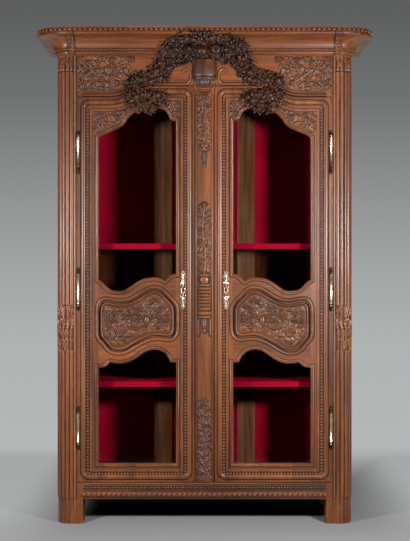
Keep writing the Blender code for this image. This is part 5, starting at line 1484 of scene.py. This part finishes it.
class ARMOIRE_OT_panels(bpy.types.Operator):
    """Frames and carves the panels in the middle of the doors"""

    bl_idname = "armoire.panels"
    bl_label = "Door panels"

    FACE_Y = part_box("door_panel_left")[0].y
    # Places on the left panel, in metres from the middle and above the floor; leaves with their turn
    DAISIES = ((-0.46936, 0.99656), (-0.43096, 0.99988), (-0.47126, 0.96669), (-0.42953, 0.96669),
               (-0.45561, 0.93872), (-0.41342, 0.91644), (-0.37549, 0.97902), (-0.39635, 1.01789),
               (-0.19486, 1.03212), (-0.15930, 1.00604), (-0.18300, 0.97048), (-0.15219, 0.94678))
    BOUQUET = ((-0.36316, 1.02026), (-0.33709, 1.02975), (-0.31101, 1.01789), (-0.35368, 0.98945),
               (-0.32523, 0.99656), (-0.30153, 0.98234), (-0.33946, 0.96337), (-0.31338, 0.95863),
               (-0.23752, 1.07716), (-0.22093, 1.06293), (-0.24938, 1.05345), (-0.21856, 1.01078),
               (-0.22804, 0.98471), (-0.21145, 0.96337), (-0.22330, 0.93493))
    LEAVES = ((-0.41721, 0.89178, 0.4), (-0.41342, 0.86381, -0.3), (-0.37738, 0.86855, 0.2),
              (-0.27782, 1.03686, 0.8), (-0.26834, 0.91359, 2.6), (-0.36316, 0.92307, 3.4),
              (-0.30627, 0.92070, -0.4), (-0.45324, 1.02975, 0.3), (-0.18537, 0.99893, 0.2),
              (-0.17352, 0.91596, 2.2), (-0.47694, 0.91122, -0.9), (-0.39635, 0.94441, 0.9),
              (-0.26597, 1.06767, 2.4), (-0.19723, 1.05819, 0.4), (-0.44376, 0.84485, 0.5),
              (-0.34420, 0.89463, 0.1))

    BASKET = (-0.33234, 0.93730)
    CUP = (-0.27403, 0.96337)

    def execute(self, context):
        loop = np.vstack([door_edge(PANEL_BOTTOM), door_edge(PANEL_TOP)[::-1]])
        roll = rounded(moved_line(loop, 0.0150, True))
        bead = rounded(moved_line(loop, 0.0245, True))
        shape, crest = mouldings(((roll, quirked(0.0120, 0.0075), True),
                                  (bead, quirked(0.0045, 0.0030), True)), self.FACE_Y)
        keep_pair("panel_edges", shape, "carved_oak_level", DOORS, "oak", crest=crest)
        around = rounded(moved_line(loop, -0.0085, True))
        shape, crest = mouldings(((around, quirked(0.0172, 0.0076), True),), FRONT_Y)
        keep_pair("panel_frame", shape, "carved_oak_level", DOORS, "oak", crest=crest)
        self.carve(bead)
        return {"FINISHED"}

    def carve(self, edge):
        """The field of flowers, basket and cup."""
        face = Carving.over(edge.min(axis=0), edge.max(axis=0), 0.0017)
        room = inside_loop(face.x, face.z, rounded(moved_line(edge, 0.006, True)))
        rng = random.Random(41)
        face.fill(room, 0.020, 0.023, 0.0030, rng, 0.1)
        for x, z, turn in self.LEAVES:
            face.leaf(x, z, 0.034, 0.0115, 0.0058, turn, rng.uniform(-0.4, 0.4), 4)
        face.spray(self.DAISIES, 0.0165, 0.0080, rng, (7, 8, 9))
        face.spray(self.BOUQUET, 0.0135, 0.0090, rng)
        basket_x, basket_z = self.BASKET
        face.dome(basket_x, basket_z, 0.030, 0.018, 0.0085, 0.0, 0.3)
        weave = 0.75 + 0.25 * np.sin(face.x * 900) * np.sin(face.z * 900)
        near = (np.abs(face.x - basket_x) < 0.03) & (np.abs(face.z - basket_z) < 0.018)
        face.height[near] *= weave[near]
        cup_x, cup_z = self.CUP
        face.dome(cup_x, cup_z, 0.014, 0.022, 0.0095, 0.0, 0.4)
        face.spiral(cup_x + 0.026, cup_z + 0.014, 0.013, 0.006, 0.0075, 0.4, 1.1)
        face.height *= room
        shape, crest = face.solid(on_front(self.FACE_Y), within=room)
        # Crests lowered so the carving reads darker: painted shade
        keep_pair("panel_carving", shape, "carved_oak_level", DOORS, "carved_oak", crest=0.82 * crest)


class ARMOIRE_OT_strip(bpy.types.Operator):
    """Carves the strip that covers the meeting of the doors"""

    bl_idname = "armoire.strip"
    bl_label = "Centre strip"

    HALF = 0.0385
    MIDDLE = -0.0013
    GRID = 0.0019
    # Flowers of the foot, as (distance from the middle, height)
    FOOT_FLOWERS = ((-0.020, 0.300), (0.019, 0.345), (-0.017, 0.420), (0.018, 0.470), (-0.014, 0.520))

    def execute(self, context):
        face_y = STRIP_LOW.y
        line = np.array([(self.MIDDLE, STRIP_LOW.z + 0.002), (self.MIDDLE, STRIP_HIGH.z - 0.002)])
        edges, crest = mouldings([(line + [offset, 0.0], quirked(0.0060, 0.0036), False)
                                  for offset in (-self.HALF, self.HALF)], face_y)
        keep("strip_edges", edges, "carved_oak_upright", "left_door", "oak", crest=crest)
        side = STRIP_HIGH.x
        # A thin lip in the gap beside the strip, whose nil crests paint it dark as shade
        lip = block((side - 0.0002, -0.180, STRIP_LOW.z), (side + 0.0019, -0.170, STRIP_HIGH.z))
        keep("strip_lip", lip, "carved_oak_upright", "left_door", "oak", crest=np.zeros(8))
        self.head(face_y)
        start, end = self.MIDDLE - self.HALF + 0.004, self.MIDDLE + self.HALF - 0.004
        parts = (("strip_leaves", 1.800, 2.034, self.leaves), ("strip_vase", 0.885, 1.530, self.vase),
                 ("strip_drop", 1.685, 1.800, self.drop), ("strip_foot", 0.204, 0.600, self.foot))
        for name, low, high, carve in parts:
            face = Carving.over((start, low), (end, high), self.GRID)
            carve(face, random.Random(name))
            shape, crest = face.solid(on_front(face_y))
            # Crests lowered so the carving reads darker: painted shade
            keep(name, shape, "carved_oak_upright", "left_door", "carved_oak", crest=0.66 * crest)
        return {"FINISHED"}

    def head(self, face_y):
        """The hollow top of the strip, which follows the pendant above it."""
        gap, thick = 0.003, 0.020
        base = DOOR_INNER_TOP + DOOR_GAP
        wide, shade_darkened = PENDANT_HALF_WIDTH + gap, PENDANT_DROP + gap
        start, end = STRIP_LOW.x + 0.0005, STRIP_HIGH.x - 0.0005
        xs = np.linspace(start, end, 33)
        tops = base - shade_darkened * np.sqrt(np.clip(1 - (xs / wide) ** 2, 0.03, 1))
        foot = STRIP_HIGH.z - 0.001
        rings = [[(x, face_y, foot), (x, face_y, top), (x, face_y + thick, top), (x, face_y + thick, foot)]
                 for x, top in zip(xs, tops)]
        keep("strip_head", loft(rings), "waxed_oak_upright", "left_door", "oak")

    def leaves(self, face, rng):
        """A dense fall of leaves below the pendant."""
        x, low = self.MIDDLE, face.zs[0]
        room = np.abs(face.x - x) < 0.024 + 0.012 * np.clip((face.z - low) / 0.05, 0, 1)
        face.fill(room, 0.0118, 0.021, 0.0062, rng, 0.25)
        face.stem(((x, 2.03), (x + 0.006, 1.95), (x - 0.004, 1.88), (x, 1.81)), 0.006, 0.006)

    def drop(self, face, rng):
        """A heart with a small tassel."""
        x, z = self.MIDDLE, 1.793
        for side in (-1, 1):
            face.dome(x + side * 0.008, z, 0.0115, 0.0085, 0.0085, side * -0.7)
            face.leaf(x, 1.768, 0.030, 0.007, 0.0045, QUARTER - side * 1.1)
        face.dome(x, 1.780, 0.010, 0.013, 0.0085)
        face.leaf(x, 1.765, 0.060, 0.0085, 0.0050, -QUARTER)
        face.dome(x, 1.700, 0.005, 0.008, 0.0045)

    def vase(self, face, rng):
        """A vase on a woven and draped pedestal, with a tall bunch of flowers."""
        x = self.MIDDLE
        room = (np.abs(face.x - x) < 0.030) & (face.z > 1.19) & (face.z < 1.51)
        face.fill(room, 0.0165, 0.022, 0.0040, rng, 0.3)
        face.stem(((x, 1.18), (x + 0.006, 1.28), (x - 0.008, 1.38), (x, 1.50)), 0.006, 0.0045)
        for step, z in enumerate(np.arange(1.20, 1.50, 0.028)):
            side = 1 if step % 2 else -1
            face.leaf(x, z, 0.036, 0.0115, 0.0055, QUARTER - side * rng.uniform(0.6, 1.2), 0.3, 3)
            face.flower(x + side * rng.uniform(0.010, 0.020), z + 0.024, rng.uniform(0.0105, 0.0145), 0.0075,
                        rng.choice((6, 7, 8)), rng.uniform(0, 3))
        face.flower(x, 1.512, 0.013, 0.0075, 7)
        for z, wide, tall in ((1.178, 0.027, 0.006), (1.154, 0.020, 0.022), (1.130, 0.028, 0.006)):
            face.dome(x, z, wide, tall, 0.0085, 0.0, 0.35)
        woven = (np.abs(face.x - x) < 0.033 - 0.05 * (1.122 - face.z)) & (face.z > 1.012) & (face.z < 1.122)
        bands = 0.0040 + 0.0026 * np.abs(np.sin((face.z - 1.012) * math.pi / 0.0157))
        face.lift(woven, bands[woven])
        for low, high, half, height in ((0.990, 1.006, 0.034, 0.0064), (0.976, 0.985, 0.029, 0.0046)):
            face.lift((np.abs(face.x - x) < half) & (face.z > low) & (face.z < high), height)
        for side in (-1, 1):
            face.spiral(x + side * 0.027, 1.156, 0.0075, 0.0042, 0.0060, QUARTER, 1.2, side)
            for z in np.arange(0.972, 0.900, -0.019):
                face.leaf(x + side * 0.026, z, 0.027, 0.0080, 0.0056, -QUARTER + side * 0.2, 0.0, 3)
        face.leaf(x, 0.975, 0.052, 0.0125, 0.0060, -QUARTER, 0.0, 4)
        face.dome(x, 0.914, 0.0075, 0.0100, 0.0055)

    def foot(self, face, rng):
        """A rising leaf stalk near the floor."""
        x = self.MIDDLE
        face.stem(((x, 0.215), (x + 0.005, 0.32), (x - 0.005, 0.44), (x, 0.56)), 0.0065, 0.0050)
        face.fill((np.abs(face.x - x) < 0.031) & (face.z < 0.580), 0.0175, 0.026, 0.0046, rng, 0.3)
        for z in np.arange(0.235, 0.55, 0.047):
            for side in (-1, 1):
                face.leaf(x, z + rng.uniform(-0.012, 0.012), 0.040, 0.0120, 0.0064,
                          QUARTER - side * rng.uniform(0.5, 1.1), side * 0.3, 4)
        face.flower(x, 0.575, 0.0175, 0.0075, 7)
        face.spray([(x + aside, z) for aside, z in self.FOOT_FLOWERS], 0.0120, 0.0074, rng)


class ARMOIRE_OT_garland(bpy.types.Operator):
    """Builds the flower garland, the urn and the bouquets on the doors"""

    bl_idname = "armoire.garland"
    bl_label = "Garland"

    # Thick lines of the left half, as (x, z, half width)
    ARM = ((0.0, 2.257, 0.060), (-0.060, 2.250, 0.054), (-0.140, 2.236, 0.064), (-0.172, 2.198, 0.046),
           (-0.204, 2.146, 0.042), (-0.248, 2.101, 0.053), (-0.302, 2.089, 0.050), (-0.344, 2.081, 0.034))
    # Large flowers at the middle, as (shape, x, z, radius)
    ROSETTES = (("rose", 0.053, 2.238, 0.031), ("aster", -0.013, 2.236, 0.032),
                ("daisy", -0.072, 2.240, 0.027))
    ROSETTE_LIFT = 0.036
    BOUQUET = ((-0.352, 2.028, 0.030), (-0.312, 2.008, 0.046), (-0.275, 1.998, 0.056), (-0.238, 2.006, 0.046),
               (-0.204, 2.018, 0.030))
    # Flower heads of the frame's own left door, all of one radius and height
    HEADS = ((-0.2899, 2.0390), (-0.3319, 2.0155), (-0.3159, 1.9775), (-0.2639, 1.9775), (-0.2478, 2.0155))
    HEAD_RADIUS = 0.034
    HEAD_HEIGHT = 0.036
    # How high the garland may reach on the cornice
    TOP = 2.327
    # Shape, spacing, how far across the line, lift and size
    LEAVES = ("leaf", 0.0092, 1.08, 0.016, 1.0)
    FLOWERS = (("daisy", 0.0205, 0.95, 0.018, 1.0), ("rose", 0.0520, 0.80, 0.020, 1.3),
               ("aster", 0.0500, 0.66, 0.022, 2.1))
    # Petals and rings of each flower, as (radius, height, scallop, crest)
    BLOOMS = {
        "daisy": (6, ((0.55, 0.0, 0.0, 0.0), (1.0, 0.30, 0.26, 0.95), (0.45, 0.42, 0.10, 0.15),
                      (0.26, 0.70, 0.0, 0.75))),
        "rose": (6, ((0.60, 0.0, 0.0, 0.0), (1.0, 0.40, 0.20, 0.85), (0.66, 0.50, 0.10, 0.05),
                     (0.60, 0.90, 0.16, 0.95), (0.28, 0.70, 0.0, 0.05))),
        "aster": (11, ((0.60, 0.0, 0.0, 0.0), (1.0, 0.22, 0.30, 0.95), (0.62, 0.26, 0.20, 0.10),
                       (0.56, 0.44, 0.30, 0.85), (0.26, 0.40, 0.0, 0.05), (0.18, 0.56, 0.0, 0.7))),
    }
    # How far a bloom may face astray, and the core's relief and width as a share of the line's
    STRAY = 0.45
    CORE_HEIGHT = 0.014
    CORE_SHARE = 0.84
    CORE_GRID = 0.0035
    # The urn's largest radius and its level, the woven wall's levels, and its depth as a share of its width
    URN_RADIUS = 0.060
    URN_MIDDLE = 2.146
    URN_WALL = (2.190, 2.123, -0.0028)
    URN_DEPTH = 0.55
    URN_WEAVE = 0.0112
    URN_GROOVE = 2.1175
    URN_LOBES = 2.104
    # Outline of the urn above and below its woven wall, as (radius, height)
    URN_RIM = ((0.0, 2.198), (0.054, 2.198))
    URN_FOOT = ((0.055, 2.119), (0.055, 2.116), (0.059, 2.114), (0.060, 2.110), (0.057, 2.106),
                (0.052, 2.102), (0.050, 2.092), (0.042, 2.080), (0.030, 2.070), (0.024, 2.066), (0.0, 2.066))

    def execute(self, context):
        self.blooms = {name: bloom_shape(name, *bloom) for name, bloom in self.BLOOMS.items()}
        self.blooms["leaf"] = leaf_shape("leaf")
        arm = [*self.ARM[::-1], *((-x, z, half) for x, z, half in self.ARM[1:])]
        self.bunch("garland", arm, "carcass", 9, self.on_frieze, lambda x, z: cornice_reach(z),
                   "carved_bouquet", ["frieze_garland"])
        for side, body, turn in zip(SIDES, DOORS, (1, -1)):
            line = [(turn * x, z, half) for x, z, half in self.BOUQUET]
            self.bunch(f"door_bouquet_{side}", line, body, 17, self.on_door, self.heads, "carved_posy")
        self.rosettes()
        self.urn()
        for bloom in self.blooms.values():
            bpy.data.objects.remove(bloom)
        return {"FINISHED"}

    def on_frieze(self, x, z):
        """Places above the frieze's lower edge and below the cornice's top."""
        return (z > door_top_at(-np.abs(x)) + DOOR_GAP + 0.004) & (z < self.TOP)

    def on_door(self, x, z):
        """Places on the door's top rail or on the frame's own flower heads."""
        over = z > np.interp(-np.abs(x), *door_edge(UPPER_ARCH).T)
        return (z < door_top_at(-np.abs(x)) - 0.003) & (over | (self.heads(x, z) > 0.004))

    def heads(self, x, z):
        """How far the frame's own flower heads stand out from the door's face."""
        tall = 0.0
        for head_x, head_z in self.HEADS:
            away = np.hypot(-np.abs(x) - head_x, z - head_z) / self.HEAD_RADIUS
            tall = np.maximum(tall, self.HEAD_HEIGHT * np.sqrt(np.clip(1 - away ** 2, 0, 1)))
        return tall

    def bunch(self, name, line, body, seed, allowed, behind, material, nodes=()):
        """Flowers and leaves crowded along a thick line, over a lumpy core."""
        carving = settings()[1]
        rng = random.Random(seed)
        path = smooth(line, 10)
        self.core(name + "_core", path, body, allowed, behind, material, nodes)
        for kind, spacing, spread, lift, size in (self.LEAVES, *self.FLOWERS):
            base = carving.bouquet_leaf if kind == "leaf" else carving.bouquet_flower
            spots = []
            for x, z, rim in self.scatter(path, spacing, spread, rng):
                if allowed(x, z):
                    y = FRONT_Y - float(behind(x, z)) - 0.003 - lift * math.sqrt(max(0.0, 1 - rim * rim))
                    spots.append(((x, y, z), self.turn(x, z, behind, rng), rng.uniform(0.8, 1.2)))
            self.grow(f"{name}_{kind}", spots, kind, base * size, material, body)

    def grow(self, name, spots, kind, size, material, body):
        """One piece of all the blooms of a kind at spots of (place, turn, size)."""
        values = {"Bloom": self.blooms[kind], "Size": size, "Material": finish_of(material)}
        keep_mesh(name, grown_mesh(name, point_mesh(spots), bloom_tree, values), body, "carved_oak")

    def rosettes(self):
        """The large flowers in front of the garland's middle."""
        for index, (kind, x, z, radius) in enumerate(self.ROSETTES):
            place = (x, FRONT_Y - float(cornice_reach(z)) - self.ROSETTE_LIFT, z)
            spots = [(place, (0.0, 0.0, 0.0), 1.0)]
            self.grow(f"garland_rosette_{index}", spots, kind, radius, "carved_bouquet", "carcass")

    def turn(self, x, z, behind, rng):
        """A turn that faces away from the wood behind, a little astray."""
        step = 0.006
        lean_x = float(behind(x + step, z) - behind(x - step, z)) / (2 * step)
        lean_z = float(behind(x, z + step) - behind(x, z - step)) / (2 * step)
        lean_x, lean_z = (max(-1.5, min(lean, 1.5)) for lean in (lean_x, lean_z))
        out = Vector((-0.5 * lean_x, -1.0, -0.5 * lean_z)).normalized()
        astray = Vector((rng.uniform(-self.STRAY, self.STRAY), 0.0, rng.uniform(-self.STRAY, self.STRAY)))
        facing = (out + astray).normalized().to_track_quat("-Y", "Z").to_matrix().to_4x4()
        return (facing @ Matrix.Rotation(rng.uniform(0, TURN), 4, "Y")).to_euler()

    def scatter(self, path, spacing, spread, rng):
        """Jittered places across a thick line, as (x, z, share of the half width)."""
        low = path[:, :2].min(axis=0) - path[:, 2].max()
        high = path[:, :2].max(axis=0) + path[:, 2].max()
        places = []
        for x, z in staggered(low, high, spacing, 0.25, rng):
            rim = float(np.min(np.hypot(path[:, 0] - x, path[:, 1] - z) / path[:, 2]))
            if rim < spread * rng.uniform(0.85, 1.0):
                places.append((x, z, min(rim, 1.0)))
        return places

    def core(self, name, path, body, allowed, behind, material, nodes):
        """The lumpy wood behind the flowers."""
        reach = path[:, 2].max()
        low, high = path[:, :2].min(axis=0) - reach, path[:, :2].max(axis=0) + reach
        face = Carving.over(low, high, self.CORE_GRID)
        rim = np.min([np.hypot(face.x - x, face.z - z) / half for x, z, half in path], axis=0)
        lumps = 0.72 + 0.28 * np.sin(face.x * 310) * np.sin(face.z * 290)
        face.height = self.CORE_HEIGHT * lumps * np.sqrt(np.clip(1 - (rim / self.CORE_SHARE) ** 2, 0, 1))
        within = allowed(face.x, face.z)

        def place(x, z, height):
            return np.stack([x, FRONT_Y - behind(x, z) - height, z], axis=1)

        shape, crest = face.solid(place, least=0.0012, within=within)
        # Crests lowered so the core behind the flowers is painted dark as shade
        keep(name, shape, material, body, "carved_oak", nodes, crest=0.25 * crest)

    def urn(self):
        """A half urn with a turned rim and a lobed foot at the middle of the frieze."""
        wall = [(self.URN_RADIUS - 3.0 * (z - self.URN_MIDDLE) ** 2, z) for z in np.arange(*self.URN_WALL)]
        points, faces = lathe((*self.URN_RIM, *wall, *self.URN_FOOT), (0.0, 0.0, 0.0), 96)
        angle = np.arctan2(points[:, 1], points[:, 0])
        height = points[:, 2]
        lobed = np.clip((self.URN_LOBES - height) / 0.006, 0.0, 1.0)
        ribs = np.abs(np.cos(8 * angle))
        woven = np.sin(24 * angle) * np.sin(height * TURN / self.URN_WEAVE)
        woven = np.where((height > 2.122) & (height < 2.192), woven, 0.0)
        points[:, :2] *= (1 - lobed * 0.16 * (1 - ribs) + 0.018 * woven)[:, None]
        points[:, 1] = FRONT_Y + 0.004 + np.minimum(points[:, 1], 0.0) * self.URN_DEPTH
        groove = np.exp(-((height - self.URN_GROOVE) / 0.003) ** 2)
        # Crest: painted shade in the groove and between the foot's lobes, a painted highlight on the ribs,
        # lighter and darker with the weave
        crest = 0.25 + 0.13 * woven - 0.25 * groove - lobed * (0.25 - 0.36 * ribs ** 4)
        keep("garland_urn", (points, faces), "carved_oak_upright", "carcass", "carved_oak",
             crest=np.clip(crest, 0, 1))


def point_mesh(places):
    """Loose points that carry a turn and a size."""
    mesh = bpy.data.meshes.new("points")
    spots, turns, sizes = zip(*places)
    mesh.from_pydata(spots, [], [])
    turns = np.array([tuple(turn) for turn in turns]).ravel()
    mesh.attributes.new("turn", "FLOAT_VECTOR", "POINT").data.foreach_set("vector", turns)
    mesh.attributes.new("size", "FLOAT", "POINT").data.foreach_set("value", sizes)
    return mesh


class ARMOIRE_OT_fittings(bpy.types.Operator):
    """Dresses the hinges and makes the pierced keyhole plates"""

    bl_idname = "armoire.fittings"
    bl_label = "Hinges and keyhole plates"

    # Half outlines of a hinge's barrel and finial, as (radius, distance from the middle)
    BARREL = ((0.0, 0.0006), (0.0066, 0.0006), (0.0074, 0.0014), (0.0074, 0.0660), (0.0080, 0.0668),
              (0.0080, 0.0690), (0.0, 0.0690))
    FINIAL = ((0.0, 0.0688), (0.0062, 0.0688), (0.0072, 0.0720), (0.0044, 0.0760), (0.0070, 0.0800),
              (0.0078, 0.0850), (0.0070, 0.0900), (0.0040, 0.0940), (0.0036, 0.0975), (0.0046, 0.1000),
              (0.0036, 0.1030), (0.0, 0.1045))
    PLATE_MIDDLE = 1.107
    # Scrolls of a plate, as (distance from the middle line, distance up or down, radius, width, turn, hand)
    PLATE_SCROLLS = ((0.0075, 0.034, 0.0068, 0.0042, -0.8, 1), (0.0080, 0.062, 0.0066, 0.0040, 0.9, -1))
    # Side stem of a plate, as (distance from the middle line, distance up or down)
    PLATE_STEM = ((0.0105, 0.012), (0.0125, 0.024), (0.0045, 0.044), (0.0110, 0.054))

    def execute(self, context):
        axis = frame["joints"][0]["pos_m"][:2]
        middles = []
        for level in ("lower", "middle", "upper"):
            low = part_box(f"{level}_hinge_pin_left")[0].z
            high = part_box(f"{level}_hinge_knuckle_left")[1].z
            middles.append((*axis, (low + high) / 2))
        for name, outline, material, slot in (("barrel", self.BARREL, "pale_brass", "brass"),
                                              ("finial", self.FINIAL, "dark_iron", "iron")):
            below = [(radius, -height) for radius, height in outline]
            moving = joined([lathe(outline, middle) for middle in middles])
            fixed = joined([lathe(below, middle) for middle in middles])
            keep_pair(f"hinge_{name}_moving", moving, material, DOORS, slot)
            keep_pair(f"hinge_{name}_fixed", fixed, material, CARCASS, slot)
        self.plates()
        return {"FINISHED"}

    def plates(self):
        """Openwork plates of mirrored scrolls around the keyhole."""
        low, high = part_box("key_plate_left")
        x, z = (low.x + high.x) / 2, self.PLATE_MIDDLE
        face = Carving.over((x - 0.0175, z - 0.094), (x + 0.0175, z + 0.094), 0.0009)
        for up in (-1, 1):
            for side in (-1, 1):
                hand = side * up
                for aside, away, radius, width, turn, way in self.PLATE_SCROLLS:
                    face.spiral(x + side * aside, z + up * away, radius, width, 0.0042, turn * hand, 1.15,
                                way * hand)
                stem = [(x + side * aside, z + up * away) for aside, away in self.PLATE_STEM]
                face.stem(stem, 0.0042, 0.0044)
                face.leaf(x, z + up * 0.066, 0.022, 0.006, 0.0042, up * (QUARTER - side * 0.45), 0.0, 2)
            face.stem(((x, z + up * 0.014), (x, z + up * 0.070)), 0.0046, 0.0040)
            face.dome(x, z + up * 0.087, 0.0042, 0.0058, 0.0044)
        ring = [(x + 0.0088 * math.cos(a), z + 0.0140 * math.sin(a)) for a in np.linspace(0, TURN, 13)]
        face.stem(ring, 0.0058, 0.0048)
        shape = face.solid(on_front(FRONT_Y - 0.0004), within=face.height > 0.0004)[0]
        keep_pair("keyhole_plate", shape, "pale_brass", DOORS, "brass", ["key_plate"])


def thin_sheet(grid, thickness=0.0012):
    """A closed thin sheet from rows of points, its back moved in along the normals."""
    grid = np.asarray(grid, float)
    across = np.gradient(grid, axis=1)
    along = np.gradient(grid, axis=0)
    normal = np.cross(across, along)
    normal /= np.linalg.norm(normal, axis=2, keepdims=True)
    rows, columns = grid.shape[:2]
    index = np.arange(rows * columns).reshape(rows, columns)
    quads = np.stack([index[:-1, :-1], index[:-1, 1:], index[1:, 1:], index[1:, :-1]], axis=-1).reshape(-1, 4)
    rim = np.concatenate([index[0, :-1], index[:-1, -1], index[-1, :0:-1], index[:0:-1, 0]])
    count = rows * columns
    walls = np.stack([np.roll(rim, -1), rim, rim + count, np.roll(rim, -1) + count], axis=1)
    faces = np.concatenate([quads, quads[:, ::-1] + count, walls]).tolist()
    return np.vstack([grid.reshape(-1, 3), (grid - normal * thickness).reshape(-1, 3)]), faces


class ARMOIRE_OT_cloth(bpy.types.Operator):
    """Covers the shelves, the linings and the back with crimson cloth"""

    bl_idname = "armoire.cloth"
    bl_label = "Cloth"

    # How far the cloth goes under a shelf, the radius of its bends and the depth of the battens
    TUCK = 0.030
    EDGE = 0.004
    BATTEN = 0.030
    # Thickness of a lining board, and the cloth's gaps to wood beside it and to a shelf
    LINING = 0.0126
    GAP = 0.001
    SHELF_GAP = 0.002

    def execute(self, context):
        for level in ("upper", "lower"):
            self.shelf(level)
        self.linings()
        self.back()
        return {"FINISHED"}

    def shelf(self, level):
        """A board with cloth over its top and front, tucked under."""
        low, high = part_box(f"{level}_shelf")
        board = block((low.x, low.y + 0.0018, low.z + 0.0016), (high.x, high.y, high.z - 0.0016))
        keep(f"{level}_shelf_board", board, "inside_oak_level", "carcass", "oak", [f"{level}_shelf"])
        edge = self.EDGE
        line = [(high.y, high.z), (low.y + 0.10, high.z), (low.y + 0.03, high.z)]
        corners = (((low.y + edge, high.z - edge), 0.0), ((low.y + edge, low.z + edge), QUARTER))
        for (y, z), start in corners:
            for angle in np.linspace(start, start + QUARTER, 6):
                line.append((y - edge * math.sin(angle), z + edge * math.cos(angle)))
        line.append((low.y + self.TUCK, low.z))
        rows = []
        for x in np.linspace(low.x + self.GAP, high.x - self.GAP, 60):
            ripple = 0.0004 * math.sin(x * 41) + 0.0003 * math.sin(x * 97 + 1)
            rows.append([(x, y - ripple, z) for y, z in line])
        piece = keep(f"{level}_shelf_cloth", thin_sheet(rows), "crimson_cloth", "carcass", "red_cloth",
                     sharp=60.0)

    def linings(self):
        """Boards inside the two sides with cloth over them, and the battens under the shelves."""
        low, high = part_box("side_lining_left")
        inner = low.x + self.LINING
        shapes = [block(low, (inner, high.y, high.z))]
        for level in ("upper", "lower"):
            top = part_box(f"{level}_shelf")[0].z
            shapes.append(block((inner + 0.0004, low.y, top - self.BATTEN), (high.x, high.y, top)))
        keep_pair("lining_boards", joined(shapes), "inside_oak_upright", CARCASS, "oak", ["side_lining"])
        ys = np.linspace(low.y + self.GAP, high.y - self.GAP, 14)
        levels = [low.z + self.GAP]
        for level in ("lower", "upper"):
            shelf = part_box(f"{level}_shelf")
            levels += [shelf[0].z - self.BATTEN - self.GAP, shelf[1].z + self.SHELF_GAP]
        levels.append(high.z - self.GAP)
        for number, place in enumerate(("low", "middle", "high")):
            zs = np.linspace(levels[2 * number], levels[2 * number + 1], 24)
            rows = [[(inner + 0.0014 + 0.0004 * math.sin(y * 70 + z * 3), y, z) for y in ys] for z in zs]
            pieces = keep_pair(f"lining_cloth_{place}", thin_sheet(rows), "crimson_cloth", CARCASS,
                               "red_cloth", sharp=60.0)

    def back(self):
        """Cloth on the back board between its uprights, above the upper shelf and below the lower one."""
        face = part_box("back_board")[0].y
        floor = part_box("floor_board")[1].z
        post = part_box("back_post_left")[1].x
        muntin_low, muntin_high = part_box("back_muntin_left")
        edges = ((post, muntin_low.x), (muntin_high.x, -muntin_high.x), (-muntin_low.x, -post))
        spans = [(start + self.GAP, end - self.GAP) for start, end in edges]
        gap = self.SHELF_GAP
        heights = {"low": (floor + self.GAP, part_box("lower_shelf")[0].z - gap),
                   "high": (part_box("upper_shelf")[1].z + gap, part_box("top_board")[0].z - gap)}
        for level, (bottom, top) in heights.items():
            zs = np.linspace(bottom, top, 30)
            for place, (start, end) in zip(("left", "middle", "right"), spans):
                xs = np.linspace(start, end, 18)
                rows = [[(x, face - 0.0016 - 0.0005 * math.sin(x * 60 + z * 2), z) for x in xs] for z in zs]
                piece = keep(f"back_cloth_{level}_{place}", thin_sheet(rows), "crimson_cloth", "carcass",
                             "red_cloth", sharp=60.0)


OPERATORS = (
    ARMOIRE_OT_stage,
    ARMOIRE_OT_frame_finish,
    ARMOIRE_OT_posts,
    ARMOIRE_OT_cornice,
    ARMOIRE_OT_front_rails,
    ARMOIRE_OT_doors,
    ARMOIRE_OT_panels,
    ARMOIRE_OT_strip,
    ARMOIRE_OT_garland,
    ARMOIRE_OT_fittings,
    ARMOIRE_OT_cloth,
)


class ARMOIRE_PT_panel(bpy.types.Panel):
    """Values and steps of the armoire"""

    bl_label = "Display armoire"
    bl_idname = "ARMOIRE_PT_panel"
    bl_space_type = "VIEW_3D"
    bl_region_type = "UI"
    bl_category = "Armoire"

    def draw(self, context):
        for group in settings():
            box = self.layout.box()
            for name in group.__annotations__:
                box.prop(group, name)
        for operator in OPERATORS:
            self.layout.operator(operator.bl_idname)


GROUPS = {"armoire_finish": ArmoireFinish, "armoire_carving": ArmoireCarving, "armoire_stage": ArmoireStage}


def register():
    """Makes the values, the steps and the panel known."""
    for name, group in GROUPS.items():
        bpy.utils.register_class(group)
        setattr(bpy.types.Scene, name, bpy.props.PointerProperty(type=group))
    for item in (*OPERATORS, ARMOIRE_PT_panel):
        bpy.utils.register_class(item)


def unregister():
    """Takes back what register made known."""
    for item in reversed((*OPERATORS, ARMOIRE_PT_panel)):
        bpy.utils.unregister_class(item)
    for name, group in reversed(GROUPS.items()):
        delattr(bpy.types.Scene, name)
        bpy.utils.unregister_class(group)


def main():
    """Builds everything in order."""
    register()
    for operator in OPERATORS:
        group, name = operator.bl_idname.split(".")
        if getattr(getattr(bpy.ops, group), name)() != {"FINISHED"}:
            raise RuntimeError(f"{operator.bl_idname} did not finish")


if __name__ == "__main__":
    main()
